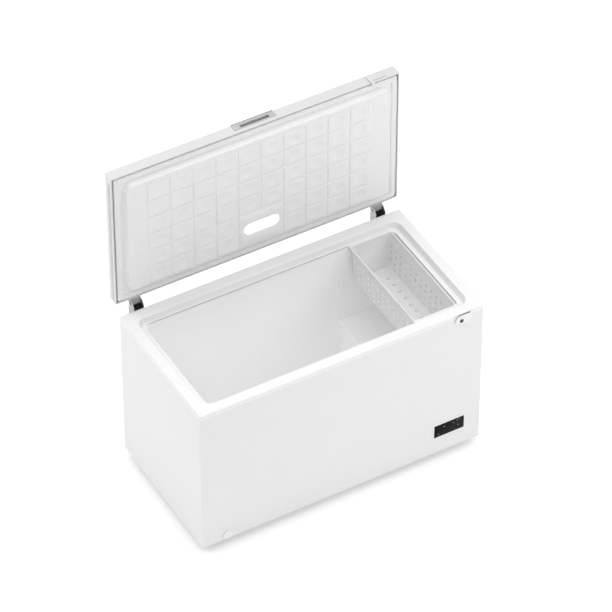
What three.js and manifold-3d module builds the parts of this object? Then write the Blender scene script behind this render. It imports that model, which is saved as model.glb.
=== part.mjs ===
// Chest freezer with a counterbalanced lid, shown with the lid standing open.
// Millimetres, +Z up, +X to the right, the front faces -Y.
import * as THREE from "three";
import { mergeVertices } from "three/addons/utils/BufferGeometryUtils.js";
import Module from "manifold-3d";

const wasm = await Module();
wasm.setup();

// ---------------------------------------------------------------- driving dimensions
const CABINET_WIDTH = 1300; // over the plastic rim
const CABINET_DEPTH = 664;
const FLOOR_GAP = 43; // floor to the underside of the cabinet
const RIM_TOP = 779;
const RIM_LIP = 22; // height of the rim's outer lip
const RIM_SHEET = 1.8;
const RIM_PLATE = 4; // thickness of the rim's flat top
const LEDGE_DROP = 28; // the basket ledge sits this far below the rim top
const SHEET = 1; // painted steel
const LINER_SHEET = 1.5;
const TUB_FLOOR = 118;
const STEP_X = 318; // left face of the step over the compressor bay
const STEP_TOP = 362;
const BAY_X = 372; // compressor bay: from here to the right side panel
const BAY_TOP = 300;
const LID_WIDTH = 1304.8;
const LID_DEPTH = 661.4;
const LID_THICKNESS = 52;
const LID_GAP = 5; // closed lid's skirt above the rim top
const PIVOT_SETBACK = 32; // hinge pin behind the cabinet's back
const PIVOT_RISE = 14; // hinge pin above the rim top
const LID_OPEN = Math.PI / 2;
const HINGE_X = 561; // hinges left and right of the middle
const BASKET_LEFT = 366;
const BASKET_RIGHT = 566;
const BASKET_TOP = 757;
const BASKET_BOTTOM = 575;
const CASTOR_X = 520;
const CASTOR_Y = 240;
const WHEEL_RADIUS = 18;
const WHEEL_SIDES = 16;
const GAP = 0.3; // left between pieces that touch

// ---------------------------------------------------------------- places worked out from them
const RIGHT = CABINET_WIDTH / 2;
const FRONT = -CABINET_DEPTH / 2;
const BACK = CABINET_DEPTH / 2;
const CASE_X = RIGHT - 2; // outer faces of the steel case, inside the rim's lip
const CASE_FRONT = FRONT + 2;
const CASE_BACK = BACK - 2;
const CASE_TOP = RIM_TOP - RIM_PLATE - GAP;
const LIP_BOTTOM = RIM_TOP - RIM_LIP;
const LEDGE_TOP = RIM_TOP - LEDGE_DROP;
const LEDGE_BOTTOM = LEDGE_TOP - 3;
const PAN_TOP = FLOOR_GAP + 1.2;
const PAN_LIP = PAN_TOP + 8; // top of the base pan's turned-up edge
const LID_X = LID_WIDTH / 2;
const LID_BOTTOM = RIM_TOP + LID_GAP;
const LID_TOP = LID_BOTTOM + LID_THICKNESS;
const LID_BACK = BACK;
const LID_FRONT = LID_BACK - LID_DEPTH;
const PIVOT_Y = BACK + PIVOT_SETBACK;
const PIVOT_Z = RIM_TOP + PIVOT_RISE;
const PLUG_FACE_Z = LID_BOTTOM - 24; // face of the lid's inner panel
const LAMP_BOARD_Z = PLUG_FACE_Z + 9;
const LOCK = { x: 540, z: 745, boss: 7.5, left: 514, right: 588, bottom: 724, top: 773, corner: 24 };
const TONGUE = { left: 518.5, right: 530.5, bottom: 746, sheet: 2.5 };
const DRAIN = { x: -535, z: 66, y: -215, outer: 13, bore: 10.5 };
const SENSOR = { y: -200, z: 400 };
const PANEL = { x: 501, z: 164, width: 142, height: 67 };
const COMPRESSOR = { x: 500, y: 70, radius: 78, foot: 66, top: 228, pipe: 40 };
const HANDLE = { x: 2, half: 95, bottom: 799, top: 829, depth: 36 };
const LAMP = { x: 4, y: 176, half: 84, height: 30 };
const BRACKET = { outer: 23, sheet: 2, bottom: 640, reach: 378 };
const ARM = { outer: 20.4, sheet: 2, reach: 376 };
const SPRING = { turns: 7, perTurn: 8, radius: 8.5, wire: 1.7, y: 350, bottom: 655, top: 803.5 };

// Repeated openings: first one's low edge, spacing, size along the row, and ends across it
const SIDE_HOLES = { count: 5, first: -60, pitch: 44, width: 26, low: 100, high: 220 };
const GRILLE_SLOTS = { count: 10, first: -58, pitch: 22, width: 10, low: 104, high: 216 };
const REAR_LOUVRES = { count: 10, first: 92, pitch: 18, width: 8, low: 424, high: 602 };
const BASKET_HOLES = {
  rows: 4, columns: 13, y: -235, pitchY: 39, halfY: 4.6, z: 589.5, pitchZ: 33.2, halfZ: 7,
};
const BASKET_DRAINS = { columns: [424, 466, 508], count: 9, y: -181.5, pitch: 44.75, halfX: 9, halfY: 5 };

// Rounded rectangles, [x low, x high, y low, y high, corner radius]
const OPENING_TOP = [-606, 606, -289, 279, 42];
const OPENING_BOTTOM = [-598, 598, -281, 271, 36];
const TUB_MOUTH = [-577, 577, -260, 256, 29];
const TUB_INSIDE = [-578, 578, -261, 257, 30];
const PLUG_BASE = [-602, 602, -284, 274, 38];
const PLUG_FACE = [-596, 596, -278, 268, 32];
const GASKET_OUTER = [-641, 641, -319, 321, 20];
const GASKET_INNER = [-615, 615, -293, 295, 14];

// ---------------------------------------------------------------- finishes
const finish = (color, roughness, metalness = 0) =>
  new THREE.MeshStandardMaterial({ color, roughness, metalness });
const WHITE_PAINT = finish(0xeeeeee, 0.35, 0.1);
const WHITE_PLASTIC = finish(0xf2f2f2, 0.45);
const TUB_PLASTIC = finish(0xe9e9e9, 0.5);
const GALVANISED = finish(0xb9bcbf, 0.45, 0.9);
const BRIGHT_STEEL = finish(0xcdd0d2, 0.3, 1);
const SPRING_STEEL = finish(0x2b2c2e, 0.5, 0.8);
const SILVER_PLASTIC = finish(0xb8b9ba, 0.35, 0.2);
const GREY_PLASTIC = finish(0x6f7275, 0.5);
const BLACK_GLOSS = finish(0x0c0c0e, 0.1);
const BLACK_PAINT = finish(0x1d1e20, 0.5, 0.4);
const RUBBER = finish(0x2a2a2a, 0.8);
const GASKET_VINYL = finish(0xe4e4e2, 0.6);
const FOAM = finish(0xe6d8a8, 0.9);
const COPPER = finish(0xb87043, 0.35, 1);
const BOARD_GREEN = finish(0x1f5b3a, 0.5);
const LENS = finish(0xffffff, 0.25);

// ---------------------------------------------------------------- shape helpers
function signedVolume(geometry) {
  const p = geometry.attributes.position;
  const index = geometry.index;
  const [a, b, c] = [new THREE.Vector3(), new THREE.Vector3(), new THREE.Vector3()];
  let volume = 0;
  for (let i = 0; i < index.count; i += 3) {
    a.fromBufferAttribute(p, index.getX(i));
    b.fromBufferAttribute(p, index.getX(i + 1));
    c.fromBufferAttribute(p, index.getX(i + 2));
    volume += a.dot(b.cross(c)) / 6;
  }
  return volume;
}

// A closed geometry as a manifold-3d solid, turned right side out if need be.
function solid(geometry) {
  const bare = new THREE.BufferGeometry();
  bare.setAttribute("position", geometry.attributes.position.clone());
  if (geometry.index) bare.setIndex(geometry.index.clone());
  const merged = mergeVertices(bare, 1e-4);
  const triangles = Uint32Array.from(merged.index.array);
  if (signedVolume(merged) < 0) {
    for (let i = 0; i < triangles.length; i += 3) {
      [triangles[i], triangles[i + 1]] = [triangles[i + 1], triangles[i]];
    }
  }
  const points = Float32Array.from(merged.attributes.position.array);
  const mesh = new wasm.Mesh({ numProp: 3, vertProperties: points, triVerts: triangles });
  return new wasm.Manifold(mesh);
}

const join = (...parts) => parts.reduce((whole, part) => whole.add(part));
const cut = (whole, ...tools) => tools.reduce((rest, tool) => rest.subtract(tool), whole);

function block(x0, x1, y0, y1, z0, z1) {
  const box = new THREE.BoxGeometry(x1 - x0, y1 - y0, z1 - z0);
  return solid(box.translate((x0 + x1) / 2, (y0 + y1) / 2, (z0 + z1) / 2));
}

// Corner points of a rounded rectangle, anticlockwise.
function roundedPoints([x0, x1, y0, y1, radius], steps = 4) {
  const centres = [
    [x1 - radius, y0 + radius, -90],
    [x1 - radius, y1 - radius, 0],
    [x0 + radius, y1 - radius, 90],
    [x0 + radius, y0 + radius, 180],
  ];
  const points = [];
  for (const [cx, cy, start] of centres) {
    for (let i = 0; i <= steps; i++) {
      const angle = THREE.MathUtils.degToRad(start + (90 * i) / steps);
      points.push(new THREE.Vector2(cx + radius * Math.cos(angle), cy + radius * Math.sin(angle)));
    }
  }
  return points;
}

const grown = ([x0, x1, y0, y1, r], by) => [x0 - by, x1 + by, y0 - by, y1 + by, Math.max(r + by, 0.5)];

// A closed solid through level sections, each a list of points and a height.
function loft(sections) {
  const count = sections[0].points.length;
  const positions = sections.flatMap(({ points, z }) => points.flatMap((p) => [p.x, p.y, z]));
  const faces = [];
  for (let level = 0; level + 1 < sections.length; level++) {
    for (let i = 0; i < count; i++) {
      const a = level * count + i;
      const b = level * count + ((i + 1) % count);
      faces.push(a, b, b + count, a, b + count, a + count);
    }
  }
  const lid = THREE.ShapeUtils.triangulateShape(sections[0].points, []);
  const top = (sections.length - 1) * count;
  for (const [a, b, c] of lid) {
    faces.push(a, c, b, top + a, top + b, top + c);
  }
  const geometry = new THREE.BufferGeometry();
  geometry.setAttribute("position", new THREE.Float32BufferAttribute(positions, 3));
  geometry.setIndex(faces);
  return solid(geometry);
}

const slab = (rectangle, z0, z1, steps = 4) => {
  const points = roundedPoints(rectangle, steps);
  return loft([{ points, z: z0 }, { points, z: z1 }]);
};
const taper = (low, z0, high, z1, steps = 4) =>
  loft([{ points: roundedPoints(low, steps), z: z0 }, { points: roundedPoints(high, steps), z: z1 }]);

// Outlines extruded along an axis. Along Y an outline is (x, z), along X it is (y, z).
const extrude = (points, depth) =>
  new THREE.ExtrudeGeometry(new THREE.Shape(points), { depth, bevelEnabled: false });
const prismY = (points, y0, y1) => solid(extrude(points, y1 - y0).rotateX(Math.PI / 2).translate(0, y1, 0));
function prismX(points, x0, x1) {
  const turn = new THREE.Matrix4().makeBasis(
    new THREE.Vector3(0, 1, 0), new THREE.Vector3(0, 0, 1), new THREE.Vector3(1, 0, 0));
  return solid(extrude(points, x1 - x0).applyMatrix4(turn).translate(x0, 0, 0));
}
const outline = (...pairs) => pairs.map(([u, v]) => new THREE.Vector2(u, v));

// Round bars along each axis.
function barZ(x, y, z0, z1, radius, sides = 16) {
  const bar = new THREE.CylinderGeometry(radius, radius, z1 - z0, sides);
  return solid(bar.rotateX(Math.PI / 2).translate(x, y, (z0 + z1) / 2));
}
function barY(x, z, y0, y1, radius, sides = 16) {
  const bar = new THREE.CylinderGeometry(radius, radius, y1 - y0, sides);
  return solid(bar.rotateY(Math.PI / sides).translate(x, (y0 + y1) / 2, z));
}
function barX(y, z, x0, x1, radius, sides = 16) {
  const bar = new THREE.CylinderGeometry(radius, radius, x1 - x0, sides);
  return solid(bar.rotateZ(Math.PI / 2).translate((x0 + x1) / 2, y, z));
}

// A path that steps exactly from one listed point to the next.
class Route extends THREE.Curve {
  constructor(points) {
    super();
    this.points = points;
  }
  at(t) {
    return Math.round(t * (this.points.length - 1));
  }
  getPoint(t) {
    return this.points[this.at(t)].clone();
  }
  getPointAt(t) {
    return this.getPoint(t);
  }
  getTangent(t) {
    const i = this.at(t);
    const before = this.points[Math.max(i - 1, 0)];
    const after = this.points[Math.min(i + 1, this.points.length - 1)];
    return after.clone().sub(before).normalize();
  }
  getTangentAt(t) {
    return this.getTangent(t);
  }
}

// Corners joined by straight runs with rounded bends.
function bentRoute(corners, radius, steps = 3) {
  const at = corners.map((corner) => new THREE.Vector3(...corner));
  const points = [at[0]];
  for (let i = 1; i + 1 < at.length; i++) {
    const into = at[i].clone().sub(at[i - 1]);
    const away = at[i + 1].clone().sub(at[i]);
    const reach = Math.min(radius, into.length() * 0.45, away.length() * 0.45);
    const from = at[i].clone().addScaledVector(into.normalize(), -reach);
    const to = at[i].clone().addScaledVector(away.normalize(), reach);
    const bend = new THREE.QuadraticBezierCurve3(from, at[i], to);
    points.push(...bend.getPoints(steps));
  }
  points.push(at[at.length - 1]);
  return new Route(points);
}

function sweep(route, radius, sides = 6) {
  const section = [];
  for (let i = 0; i < sides; i++) {
    const angle = (2 * Math.PI * (i + 0.5)) / sides;
    section.push(new THREE.Vector2(radius * Math.cos(angle), radius * Math.sin(angle)));
  }
  const settings = { steps: route.points.length - 1, extrudePath: route, bevelEnabled: false };
  return solid(new THREE.ExtrudeGeometry(new THREE.Shape(section), settings));
}

function lathe(profile, x, y, sides = 16) {
  const points = profile.map(([radius, z]) => new THREE.Vector2(radius, z));
  return solid(new THREE.LatheGeometry(points, sides).rotateX(Math.PI / 2).translate(x, y, 0));
}

const freezer = new THREE.Group();
function add(name, shape, material, group = freezer) {
  const mesh = shape.getMesh();
  const geometry = new THREE.BufferGeometry();
  geometry.setAttribute("position", new THREE.BufferAttribute(new Float32Array(mesh.vertProperties), 3));
  geometry.setIndex(new THREE.BufferAttribute(new Uint32Array(mesh.triVerts), 1));
  const piece = new THREE.Mesh(geometry, material);
  piece.name = name;
  group.add(piece);
}

// ---------------------------------------------------------------- refrigerant and drain routes
const COIL_RADIUS = 4;
const COIL_OFFSET = LINER_SHEET + GAP + COIL_RADIUS;
const SUCTION_END = [TUB_INSIDE[1] + COIL_OFFSET, TUB_INSIDE[3] + COIL_OFFSET, 270];
function evaporatorRoute() {
  const [x0, x1, y0, y1] = grown(TUB_INSIDE, COIL_OFFSET);
  const corners = [SUCTION_END];
  for (let turn = 0; turn < 5; turn++) {
    const z = 440 + 60 * turn;
    corners.push([x1, y1, z], [x0, y1, z], [x0, y0, z], [x1, y0, z]);
  }
  corners.pop();
  corners.push([TUB_INSIDE[1] - 60, y0, 680]);
  return bentRoute(corners, 24, 2);
}

const CONDENSER_RADIUS = 2.5;
const CONDENSER_Y = CASE_FRONT + SHEET + GAP + CONDENSER_RADIUS;
const CONDENSER_START = 160;
const PIPE_TOP = COMPRESSOR.top + 12 + GAP;
function condenserRoute() {
  const corners = [[BAY_X + 30, CONDENSER_Y, CONDENSER_START]];
  for (let pass = 0; pass < 6; pass++) {
    const z = CONDENSER_START + 90 * pass;
    const ends = pass % 2 === 0 ? [300, -600] : [-600, 300];
    if (pass > 0) corners.push([ends[0], CONDENSER_Y, z]);
    if (pass < 5) corners.push([ends[1], CONDENSER_Y, z]);
  }
  corners.push([250, CONDENSER_Y, 610]);
  return bentRoute(corners, 30, 2);
}

const drainRoute = (top, front) =>
  bentRoute([[DRAIN.x, DRAIN.y, top], [DRAIN.x, DRAIN.y, DRAIN.z], [DRAIN.x, front, DRAIN.z]], 25, 4);

// One cutter for each opening of a row: shape(start, end, low, high).
function slots({ count, first, pitch, width, low, high }, shape) {
  const cutters = [];
  for (let i = 0; i < count; i++) {
    const start = first + pitch * i;
    cutters.push(shape(start, start + width, low, high));
  }
  return cutters;
}

// ---------------------------------------------------------------- cabinet
function cabinetShell() {
  const outer = block(-CASE_X, CASE_X, CASE_FRONT, CASE_BACK - SHEET, FLOOR_GAP, CASE_TOP);
  const room = block(
    -CASE_X + SHEET, CASE_X - SHEET, CASE_FRONT + SHEET, CASE_BACK + 1, FLOOR_GAP - 1, CASE_TOP + 1);
  const { x, z, width, height } = PANEL;
  const panelHole = block(
    x - width / 2 - 2.5, x + width / 2 + 2.5, CASE_FRONT - 1, CASE_FRONT + 2,
    z - height / 2 - 2.5, z + height / 2 + 2.5);
  const drainHole = barY(DRAIN.x, DRAIN.z, CASE_FRONT - 1, CASE_FRONT + 2, DRAIN.outer + GAP);
  const vents = slots(SIDE_HOLES, (y0, y1, z0, z1) => block(CASE_X - 2, CASE_X + 1, y0, y1, z0, z1));
  return cut(outer, room, panelHole, drainHole, ...vents);
}

function backPanel() {
  const sheet = block(-CASE_X, CASE_X, CASE_BACK - SHEET, CASE_BACK, FLOOR_GAP, CASE_TOP);
  return cut(sheet, block(400, 626, CASE_BACK - 2, CASE_BACK + 1, 76, 276));
}

function basePan() {
  const inset = SHEET + GAP;
  const [x, y0, y1] = [CASE_X - inset, CASE_FRONT + inset, CASE_BACK - inset];
  const tray = block(-x, x, y0, y1, FLOOR_GAP, PAN_LIP);
  return cut(tray, block(-x + 1.2, x - 1.2, y0 + 1.2, y1 - 1.2, PAN_TOP, PAN_TOP + 20));
}

function baseRail(x) {
  const bar = block(x - 40, x + 40, -290, 290, FLOOR_GAP - 8, FLOOR_GAP - 0.01);
  return cut(bar, block(x - 37.8, x + 37.8, -300, 300, FLOOR_GAP - 9, FLOOR_GAP - 2.2));
}

function rimFrame() {
  const edge = [-RIGHT, RIGHT, FRONT, BACK, 4];
  const body = loft([
    { points: roundedPoints(edge, 3), z: LIP_BOTTOM },
    { points: roundedPoints(edge, 3), z: RIM_TOP - 5 },
    { points: roundedPoints(grown(edge, -1.5), 3), z: RIM_TOP - 1.5 },
    { points: roundedPoints(grown(edge, -5), 3), z: RIM_TOP },
  ]);
  const underside = slab(
    [-RIGHT + RIM_SHEET, RIGHT - RIM_SHEET, FRONT + RIM_SHEET, BACK - RIM_SHEET, 0.3],
    700, RIM_TOP - RIM_PLATE, 1);
  const riser = slab(grown(OPENING_TOP, 3), LEDGE_BOTTOM, RIM_TOP - RIM_PLATE + 1);
  const mouth = taper(OPENING_BOTTOM, LEDGE_TOP, grown(OPENING_TOP, 0.3), RIM_TOP + 1);
  return cut(join(cut(body, underside), riser), mouth, slab(TUB_MOUTH, 700, RIM_TOP));
}

function tubVolume(by, z0, z1) {
  const whole = slab(grown(TUB_INSIDE, by), z0, z1);
  return cut(whole, block(STEP_X + by, 700, -400, 400, 0, STEP_TOP - by));
}

function tubLiner() {
  const walls = tubVolume(LINER_SHEET, TUB_FLOOR - LINER_SHEET, LEDGE_BOTTOM - GAP);
  const flange = slab(grown(TUB_INSIDE, 16), LEDGE_BOTTOM - GAP - LINER_SHEET, LEDGE_BOTTOM - GAP);
  const plugHole = barZ(DRAIN.x, DRAIN.y, TUB_FLOOR - 10, TUB_FLOOR + 10, 12);
  const sensorHole = barX(SENSOR.y, SENSOR.z, 570, 590, 4, 8);
  return cut(join(walls, flange), tubVolume(0, TUB_FLOOR, RIM_TOP), plugHole, sensorHole);
}

function cabinetFoam() {
  const inset = SHEET + GAP;
  const [x, y0, y1] = [CASE_X - inset, CASE_FRONT + inset, CASE_BACK - inset];
  const core = block(-x, x, y0, y1, PAN_LIP + GAP, CASE_TOP - GAP);
  const inPan = block(-x + 1.5, x - 1.5, y0 + 1.5, y1 - 1.5, PAN_TOP + GAP, PAN_LIP + 1);
  const tub = tubVolume(LINER_SHEET + GAP, TUB_FLOOR - LINER_SHEET - GAP, RIM_TOP);
  const rimSeat = slab(grown(OPENING_TOP, 3 + GAP), LEDGE_BOTTOM - LINER_SHEET - 2 * GAP, RIM_TOP + 5);
  const bay = block(BAY_X, 700, -400, 400, 0, BAY_TOP);
  const drain = sweep(drainRoute(TUB_FLOOR, FRONT), DRAIN.outer + 0.6, 12);
  const sensor = barX(SENSOR.y, SENSOR.z, 570, 592, 4.2, 8);
  return cut(
    join(core, inPan), tub, rimSeat, bay, drain, sensor,
    sweep(evaporatorRoute(), COIL_RADIUS + 2.2, 4),
    sweep(condenserRoute(), CONDENSER_RADIUS + 1.5, 4));
}

// Folded steel sheet that closes the foam off from the compressor bay.
function bayPanel() {
  const inset = SHEET + GAP;
  const [right, y0, y1] = [CASE_X - inset, CASE_FRONT + inset, CASE_BACK - inset];
  const foot = PAN_LIP + GAP;
  const upright = block(BAY_X + GAP, BAY_X + GAP + 1, y0, y1, foot, BAY_TOP - GAP);
  const roof = block(BAY_X + GAP, right, y0, y1, BAY_TOP - GAP - 1, BAY_TOP - GAP);
  const [sx, sy] = SUCTION_END;
  return cut(
    join(upright, roof), barZ(sx, sy, 290, 310, 9, 12),
    block(BAY_X - 2, BAY_X + 4, CASE_FRONT, CONDENSER_Y + 8, 152, 168));
}

function rearCover() {
  const plate = block(390, 636, CASE_BACK + 0.01, CASE_BACK + 1.5, 66, 286);
  const louvre = (z0, z1, x0, x1) => block(x0, x1, CASE_BACK - 2, CASE_BACK + 3, z0, z1);
  return cut(plate, ...slots(REAR_LOUVRES, louvre));
}

function sideVentGrille() {
  const plate = block(CASE_X + 0.01, CASE_X + 1.9, -74, 156, 88, 232);
  const slot = (y0, y1, z0, z1) => block(CASE_X - 1, CASE_X + 3, y0, y1, z0, z1);
  return cut(plate, ...slots(GRILLE_SLOTS, slot));
}

add("cabinet_shell", cabinetShell(), WHITE_PAINT);
add("back_panel", backPanel(), GALVANISED);
add("base_pan", basePan(), GALVANISED);
add("base_rail_left", baseRail(-CASTOR_X), GALVANISED);
add("base_rail_right", baseRail(CASTOR_X), GALVANISED);
add("rim_frame", rimFrame(), WHITE_PLASTIC);
add("tub_liner", tubLiner(), TUB_PLASTIC);
add("cabinet_foam", cabinetFoam(), FOAM);
add("bay_panel", bayPanel(), GALVANISED);
add("rear_cover", rearCover(), GREY_PLASTIC);
add("side_vent_grille", sideVentGrille(), WHITE_PLASTIC);

// ---------------------------------------------------------------- cooling system
function compressorPot() {
  const { x, y, radius, foot, top, pipe } = COMPRESSOR;
  const dome = 30;
  const pot = lathe(
    [[0, foot], [radius - 14, foot], [radius, foot + 16], [radius, top - dome], [radius - 10, top - 12],
      [radius - 36, top - 2], [0, top]], x, y, 20);
  const plate = block(x - 95, x + 95, y - 62, y + 62, foot, foot + 3);
  const suctionStub = barZ(x + pipe, y, top - 10, top + 12, 5, 8);
  const outletStub = barZ(x - pipe, y, top - 10, top + 12, 4, 8);
  return join(pot, plate, suctionStub, outletStub);
}

// Steel cross plate with the four feet the pot stands on.
function compressorBase() {
  const { x, y, foot } = COMPRESSOR;
  const plate = block(x - 100, x + 100, y - 66, y + 66, PAN_TOP + 0.01, PAN_TOP + 2);
  const feet = [];
  for (const [side, end] of [[-1, -1], [1, -1], [-1, 1], [1, 1]]) {
    feet.push(barZ(x + side * 82, y + end * 50, PAN_TOP + 1, foot - GAP, 11, 10));
  }
  return join(plate, ...feet);
}

// From the pot up and across to the end of the evaporator coil.
function suctionRoute() {
  const { x, y, pipe } = COMPRESSOR;
  const [endX, endY, endZ] = SUCTION_END;
  const bridge = PIPE_TOP + 20;
  return bentRoute(
    [[x + pipe, y, PIPE_TOP], [x + pipe, y, bridge], [endX, y, bridge], [endX, endY, bridge],
      [endX, endY, endZ - GAP]], 12, 3);
}

// From the pot forward and down to the start of the condenser coil.
function dischargeRoute() {
  const { x, y, pipe } = COMPRESSOR;
  const [dropX, dropY, bridge] = [BAY_X + 42, -180, PIPE_TOP + 18];
  return bentRoute(
    [[x - pipe, y, PIPE_TOP], [x - pipe, y, bridge], [dropX, dropY, bridge], [dropX, dropY, CONDENSER_START],
      [dropX, CONDENSER_Y, CONDENSER_START], [BAY_X + 30 + GAP, CONDENSER_Y, CONDENSER_START]], 14, 3);
}

function startRelay() {
  const near = COMPRESSOR.x + COMPRESSOR.radius + GAP;
  return block(near, near + 30, COMPRESSOR.y - 30, COMPRESSOR.y + 30, 110, 180);
}

// Copper drier standing against the bay's inner wall.
function filterDrier() {
  const [radius, neck] = [11, 4];
  const x = BAY_X + 1 + 2 * GAP + radius;
  return lathe([[0, 120], [neck, 120], [radius, 134], [radius, 210], [neck, 224], [0, 224]], x, 230, 12);
}

add("compressor", compressorPot(), BLACK_PAINT);
add("compressor_base", compressorBase(), GALVANISED);
add("start_relay", startRelay(), GREY_PLASTIC);
add("filter_drier", filterDrier(), COPPER);
add("evaporator_coil", sweep(evaporatorRoute(), COIL_RADIUS), COPPER);
add("condenser_coil", sweep(condenserRoute(), CONDENSER_RADIUS), COPPER);
add("suction_line", sweep(suctionRoute(), COIL_RADIUS), COPPER);
add("discharge_line", sweep(dischargeRoute(), CONDENSER_RADIUS), COPPER);
add("power_box", block(566, CASE_X - SHEET - GAP, -300, -190, 190, 250), GREY_PLASTIC);
add("temperature_sensor", barX(SENSOR.y, SENSOR.z, 566, 589, 3.6, 8), WHITE_PLASTIC);

// ---------------------------------------------------------------- drain
function drainTube() {
  const outer = sweep(drainRoute(TUB_FLOOR - LINER_SHEET - GAP, CASE_FRONT), DRAIN.outer, 12);
  return cut(outer, sweep(drainRoute(TUB_FLOOR + 20, FRONT - 20), DRAIN.bore, 12));
}

function drainCap() {
  const face = CASE_FRONT - GAP;
  const disc = barY(DRAIN.x, DRAIN.z, face - 5, face, 21.5, 24);
  const spigot = barY(DRAIN.x, DRAIN.z, face - 1, face + 18, DRAIN.bore - 1, 12);
  const fingerNotch = barY(DRAIN.x, DRAIN.z + 26, face - 6, face - 2, 10, 12);
  return cut(join(disc, spigot), fingerNotch);
}

function drainPlug() {
  const stem = barZ(DRAIN.x, DRAIN.y, TUB_FLOOR - 10, TUB_FLOOR + 1, DRAIN.bore - 1, 12);
  const head = barZ(DRAIN.x, DRAIN.y, TUB_FLOOR + 0.3, TUB_FLOOR + 4, 18, 16);
  const tab = block(DRAIN.x - 10, DRAIN.x + 10, DRAIN.y - 2, DRAIN.y + 2, TUB_FLOOR + 3, TUB_FLOOR + 16);
  return join(stem, head, tab);
}

add("drain_tube", drainTube(), GREY_PLASTIC);
add("drain_cap", drainCap(), WHITE_PLASTIC);
add("drain_plug", drainPlug(), RUBBER);

// ---------------------------------------------------------------- control panel
function panelBezel() {
  const { x, z, width, height } = PANEL;
  const face = CASE_FRONT - GAP;
  const flange = block(
    x - width / 2 - 5, x + width / 2 + 5, face - 1.4, face, z - height / 2 - 5, z + height / 2 + 5);
  const wall = block(
    x - width / 2 - 2, x + width / 2 + 2, face - 0.5, CASE_FRONT + 24,
    z - height / 2 - 2, z + height / 2 + 2);
  const room = block(
    x - width / 2, x + width / 2, face - 3, CASE_FRONT + 22.5, z - height / 2, z + height / 2);
  const wireHole = block(x - 12, x + 12, CASE_FRONT + 20, CASE_FRONT + 30, z - 6, z + 6);
  return cut(join(flange, wall), room, wireHole);
}

function panelWindow() {
  const { x, z, width, height } = PANEL;
  return block(
    x - width / 2 + GAP, x + width / 2 - GAP, CASE_FRONT - 0.9, CASE_FRONT + 1.6,
    z - height / 2 + GAP, z + height / 2 - GAP);
}

function displayBoard() {
  const { x, z } = PANEL;
  const board = block(x - 66, x + 66, CASE_FRONT + 12, CASE_FRONT + 13.6, z - 28, z + 28);
  const digits = block(x - 20, x + 30, CASE_FRONT + 3, CASE_FRONT + 12.5, z - 2, z + 20);
  const chip = block(x - 50, x - 30, CASE_FRONT + 9, CASE_FRONT + 12.5, z - 18, z - 4);
  return join(board, digits, chip);
}

add("panel_bezel", panelBezel(), WHITE_PLASTIC);
add("panel_window", panelWindow(), BLACK_GLOSS);
add("display_board", displayBoard(), BOARD_GREEN);

// ---------------------------------------------------------------- lock on the front of the rim
function lockHousing() {
  const face = FRONT - LOCK.boss;
  const { left, right, bottom, top, corner } = LOCK;
  const plate = (inset) => roundedPoints(grown([left, right, bottom, top, corner], -inset), 5);
  const wall = 2;
  const boss = prismY(plate(0), face, FRONT - 0.01);
  const overRim = block(500, 600, FRONT - 1, CASE_FRONT, LIP_BOTTOM - GAP, 800);
  const skirt = cut(prismY(plate(0), FRONT - 0.5, CASE_FRONT - GAP), overRim);
  const inside = prismY(plate(wall), face + wall, CASE_FRONT + 1);
  const tongueSlot = block(516.4, 560, face + wall, FRONT + 1, 755, 780);
  const barrelHole = barY(LOCK.x, LOCK.z, face - 1, face + wall + 1, 9.4, 20);
  return cut(join(boss, skirt), inside, tongueSlot, barrelHole);
}

function lockBarrel() {
  const face = FRONT - LOCK.boss;
  const body = barY(LOCK.x, LOCK.z, face - 1.5, FRONT - 4.9, 8.8, 20);
  const keyway = block(LOCK.x - 1.2, LOCK.x + 1.2, face - 2, face + 0.8, LOCK.z - 5.5, LOCK.z + 5.5);
  const tail = block(LOCK.x - 2, LOCK.x + 2, FRONT - 5, FRONT - 1.4, LOCK.z - 2, LOCK.z + 2);
  return cut(join(body, tail), keyway);
}

// At rest the cam points up to the right, clear of the tongue.
function lockCam() {
  const [reach, half] = [20, 2];
  const along = Math.SQRT1_2;
  const at = (s, t) => [LOCK.x + along * (s - t), LOCK.z + along * (s + t)];
  const [y0, y1] = [FRONT - 4.6, FRONT - 1.2];
  const arm = prismY(outline(at(0, -half), at(reach, -half), at(reach, half), at(0, half)), y0, y1);
  const squareHole = block(LOCK.x - 2.15, LOCK.x + 2.15, y0 - 1, y1 + 1, LOCK.z - 2.15, LOCK.z + 2.15);
  return cut(join(barY(LOCK.x, LOCK.z, y0, y1, 6, 12), arm), squareHole);
}

add("lock_housing", lockHousing(), WHITE_PLASTIC);
add("lock_barrel", lockBarrel(), BRIGHT_STEEL);
add("lock_cam", lockCam(), BRIGHT_STEEL);

// ---------------------------------------------------------------- hinges, cabinet side
function hingeBracket(x) {
  const { outer, sheet, bottom, reach } = BRACKET;
  const inner = outer - sheet;
  const back = CASE_BACK + GAP;
  const cheek = outline(
    [BACK + GAP, bottom], [reach - 22, bottom], [reach, bottom + 24], [reach, PIVOT_Z + 3],
    [reach - 12, PIVOT_Z + 19], [reach - 30, PIVOT_Z + 19], [BACK + GAP, PIVOT_Z - 1]);
  const cheeks = [prismX(cheek, x - outer, x - inner), prismX(cheek, x + inner, x + outer)];
  const plate = block(x - outer, x + outer, back, BACK + 1.4, bottom, LIP_BOTTOM - 1);
  const seat = block(x - outer, x + outer, back, reach - 8, bottom + 10, bottom + 12);
  return cut(join(...cheeks, plate, seat), barX(PIVOT_Y, PIVOT_Z, x - 40, x + 40, 4.3, 12));
}

function hingePin(x) {
  const shank = barX(PIVOT_Y, PIVOT_Z, x - 25, x + 25, 4, 12);
  const [start, end] = [BRACKET.outer + 0.4, BRACKET.outer + 4];
  const heads = [
    barX(PIVOT_Y, PIVOT_Z, x - end, x - start, 6, 12), barX(PIVOT_Y, PIVOT_Z, x + start, x + end, 6, 12)];
  return join(shank, ...heads);
}

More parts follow.
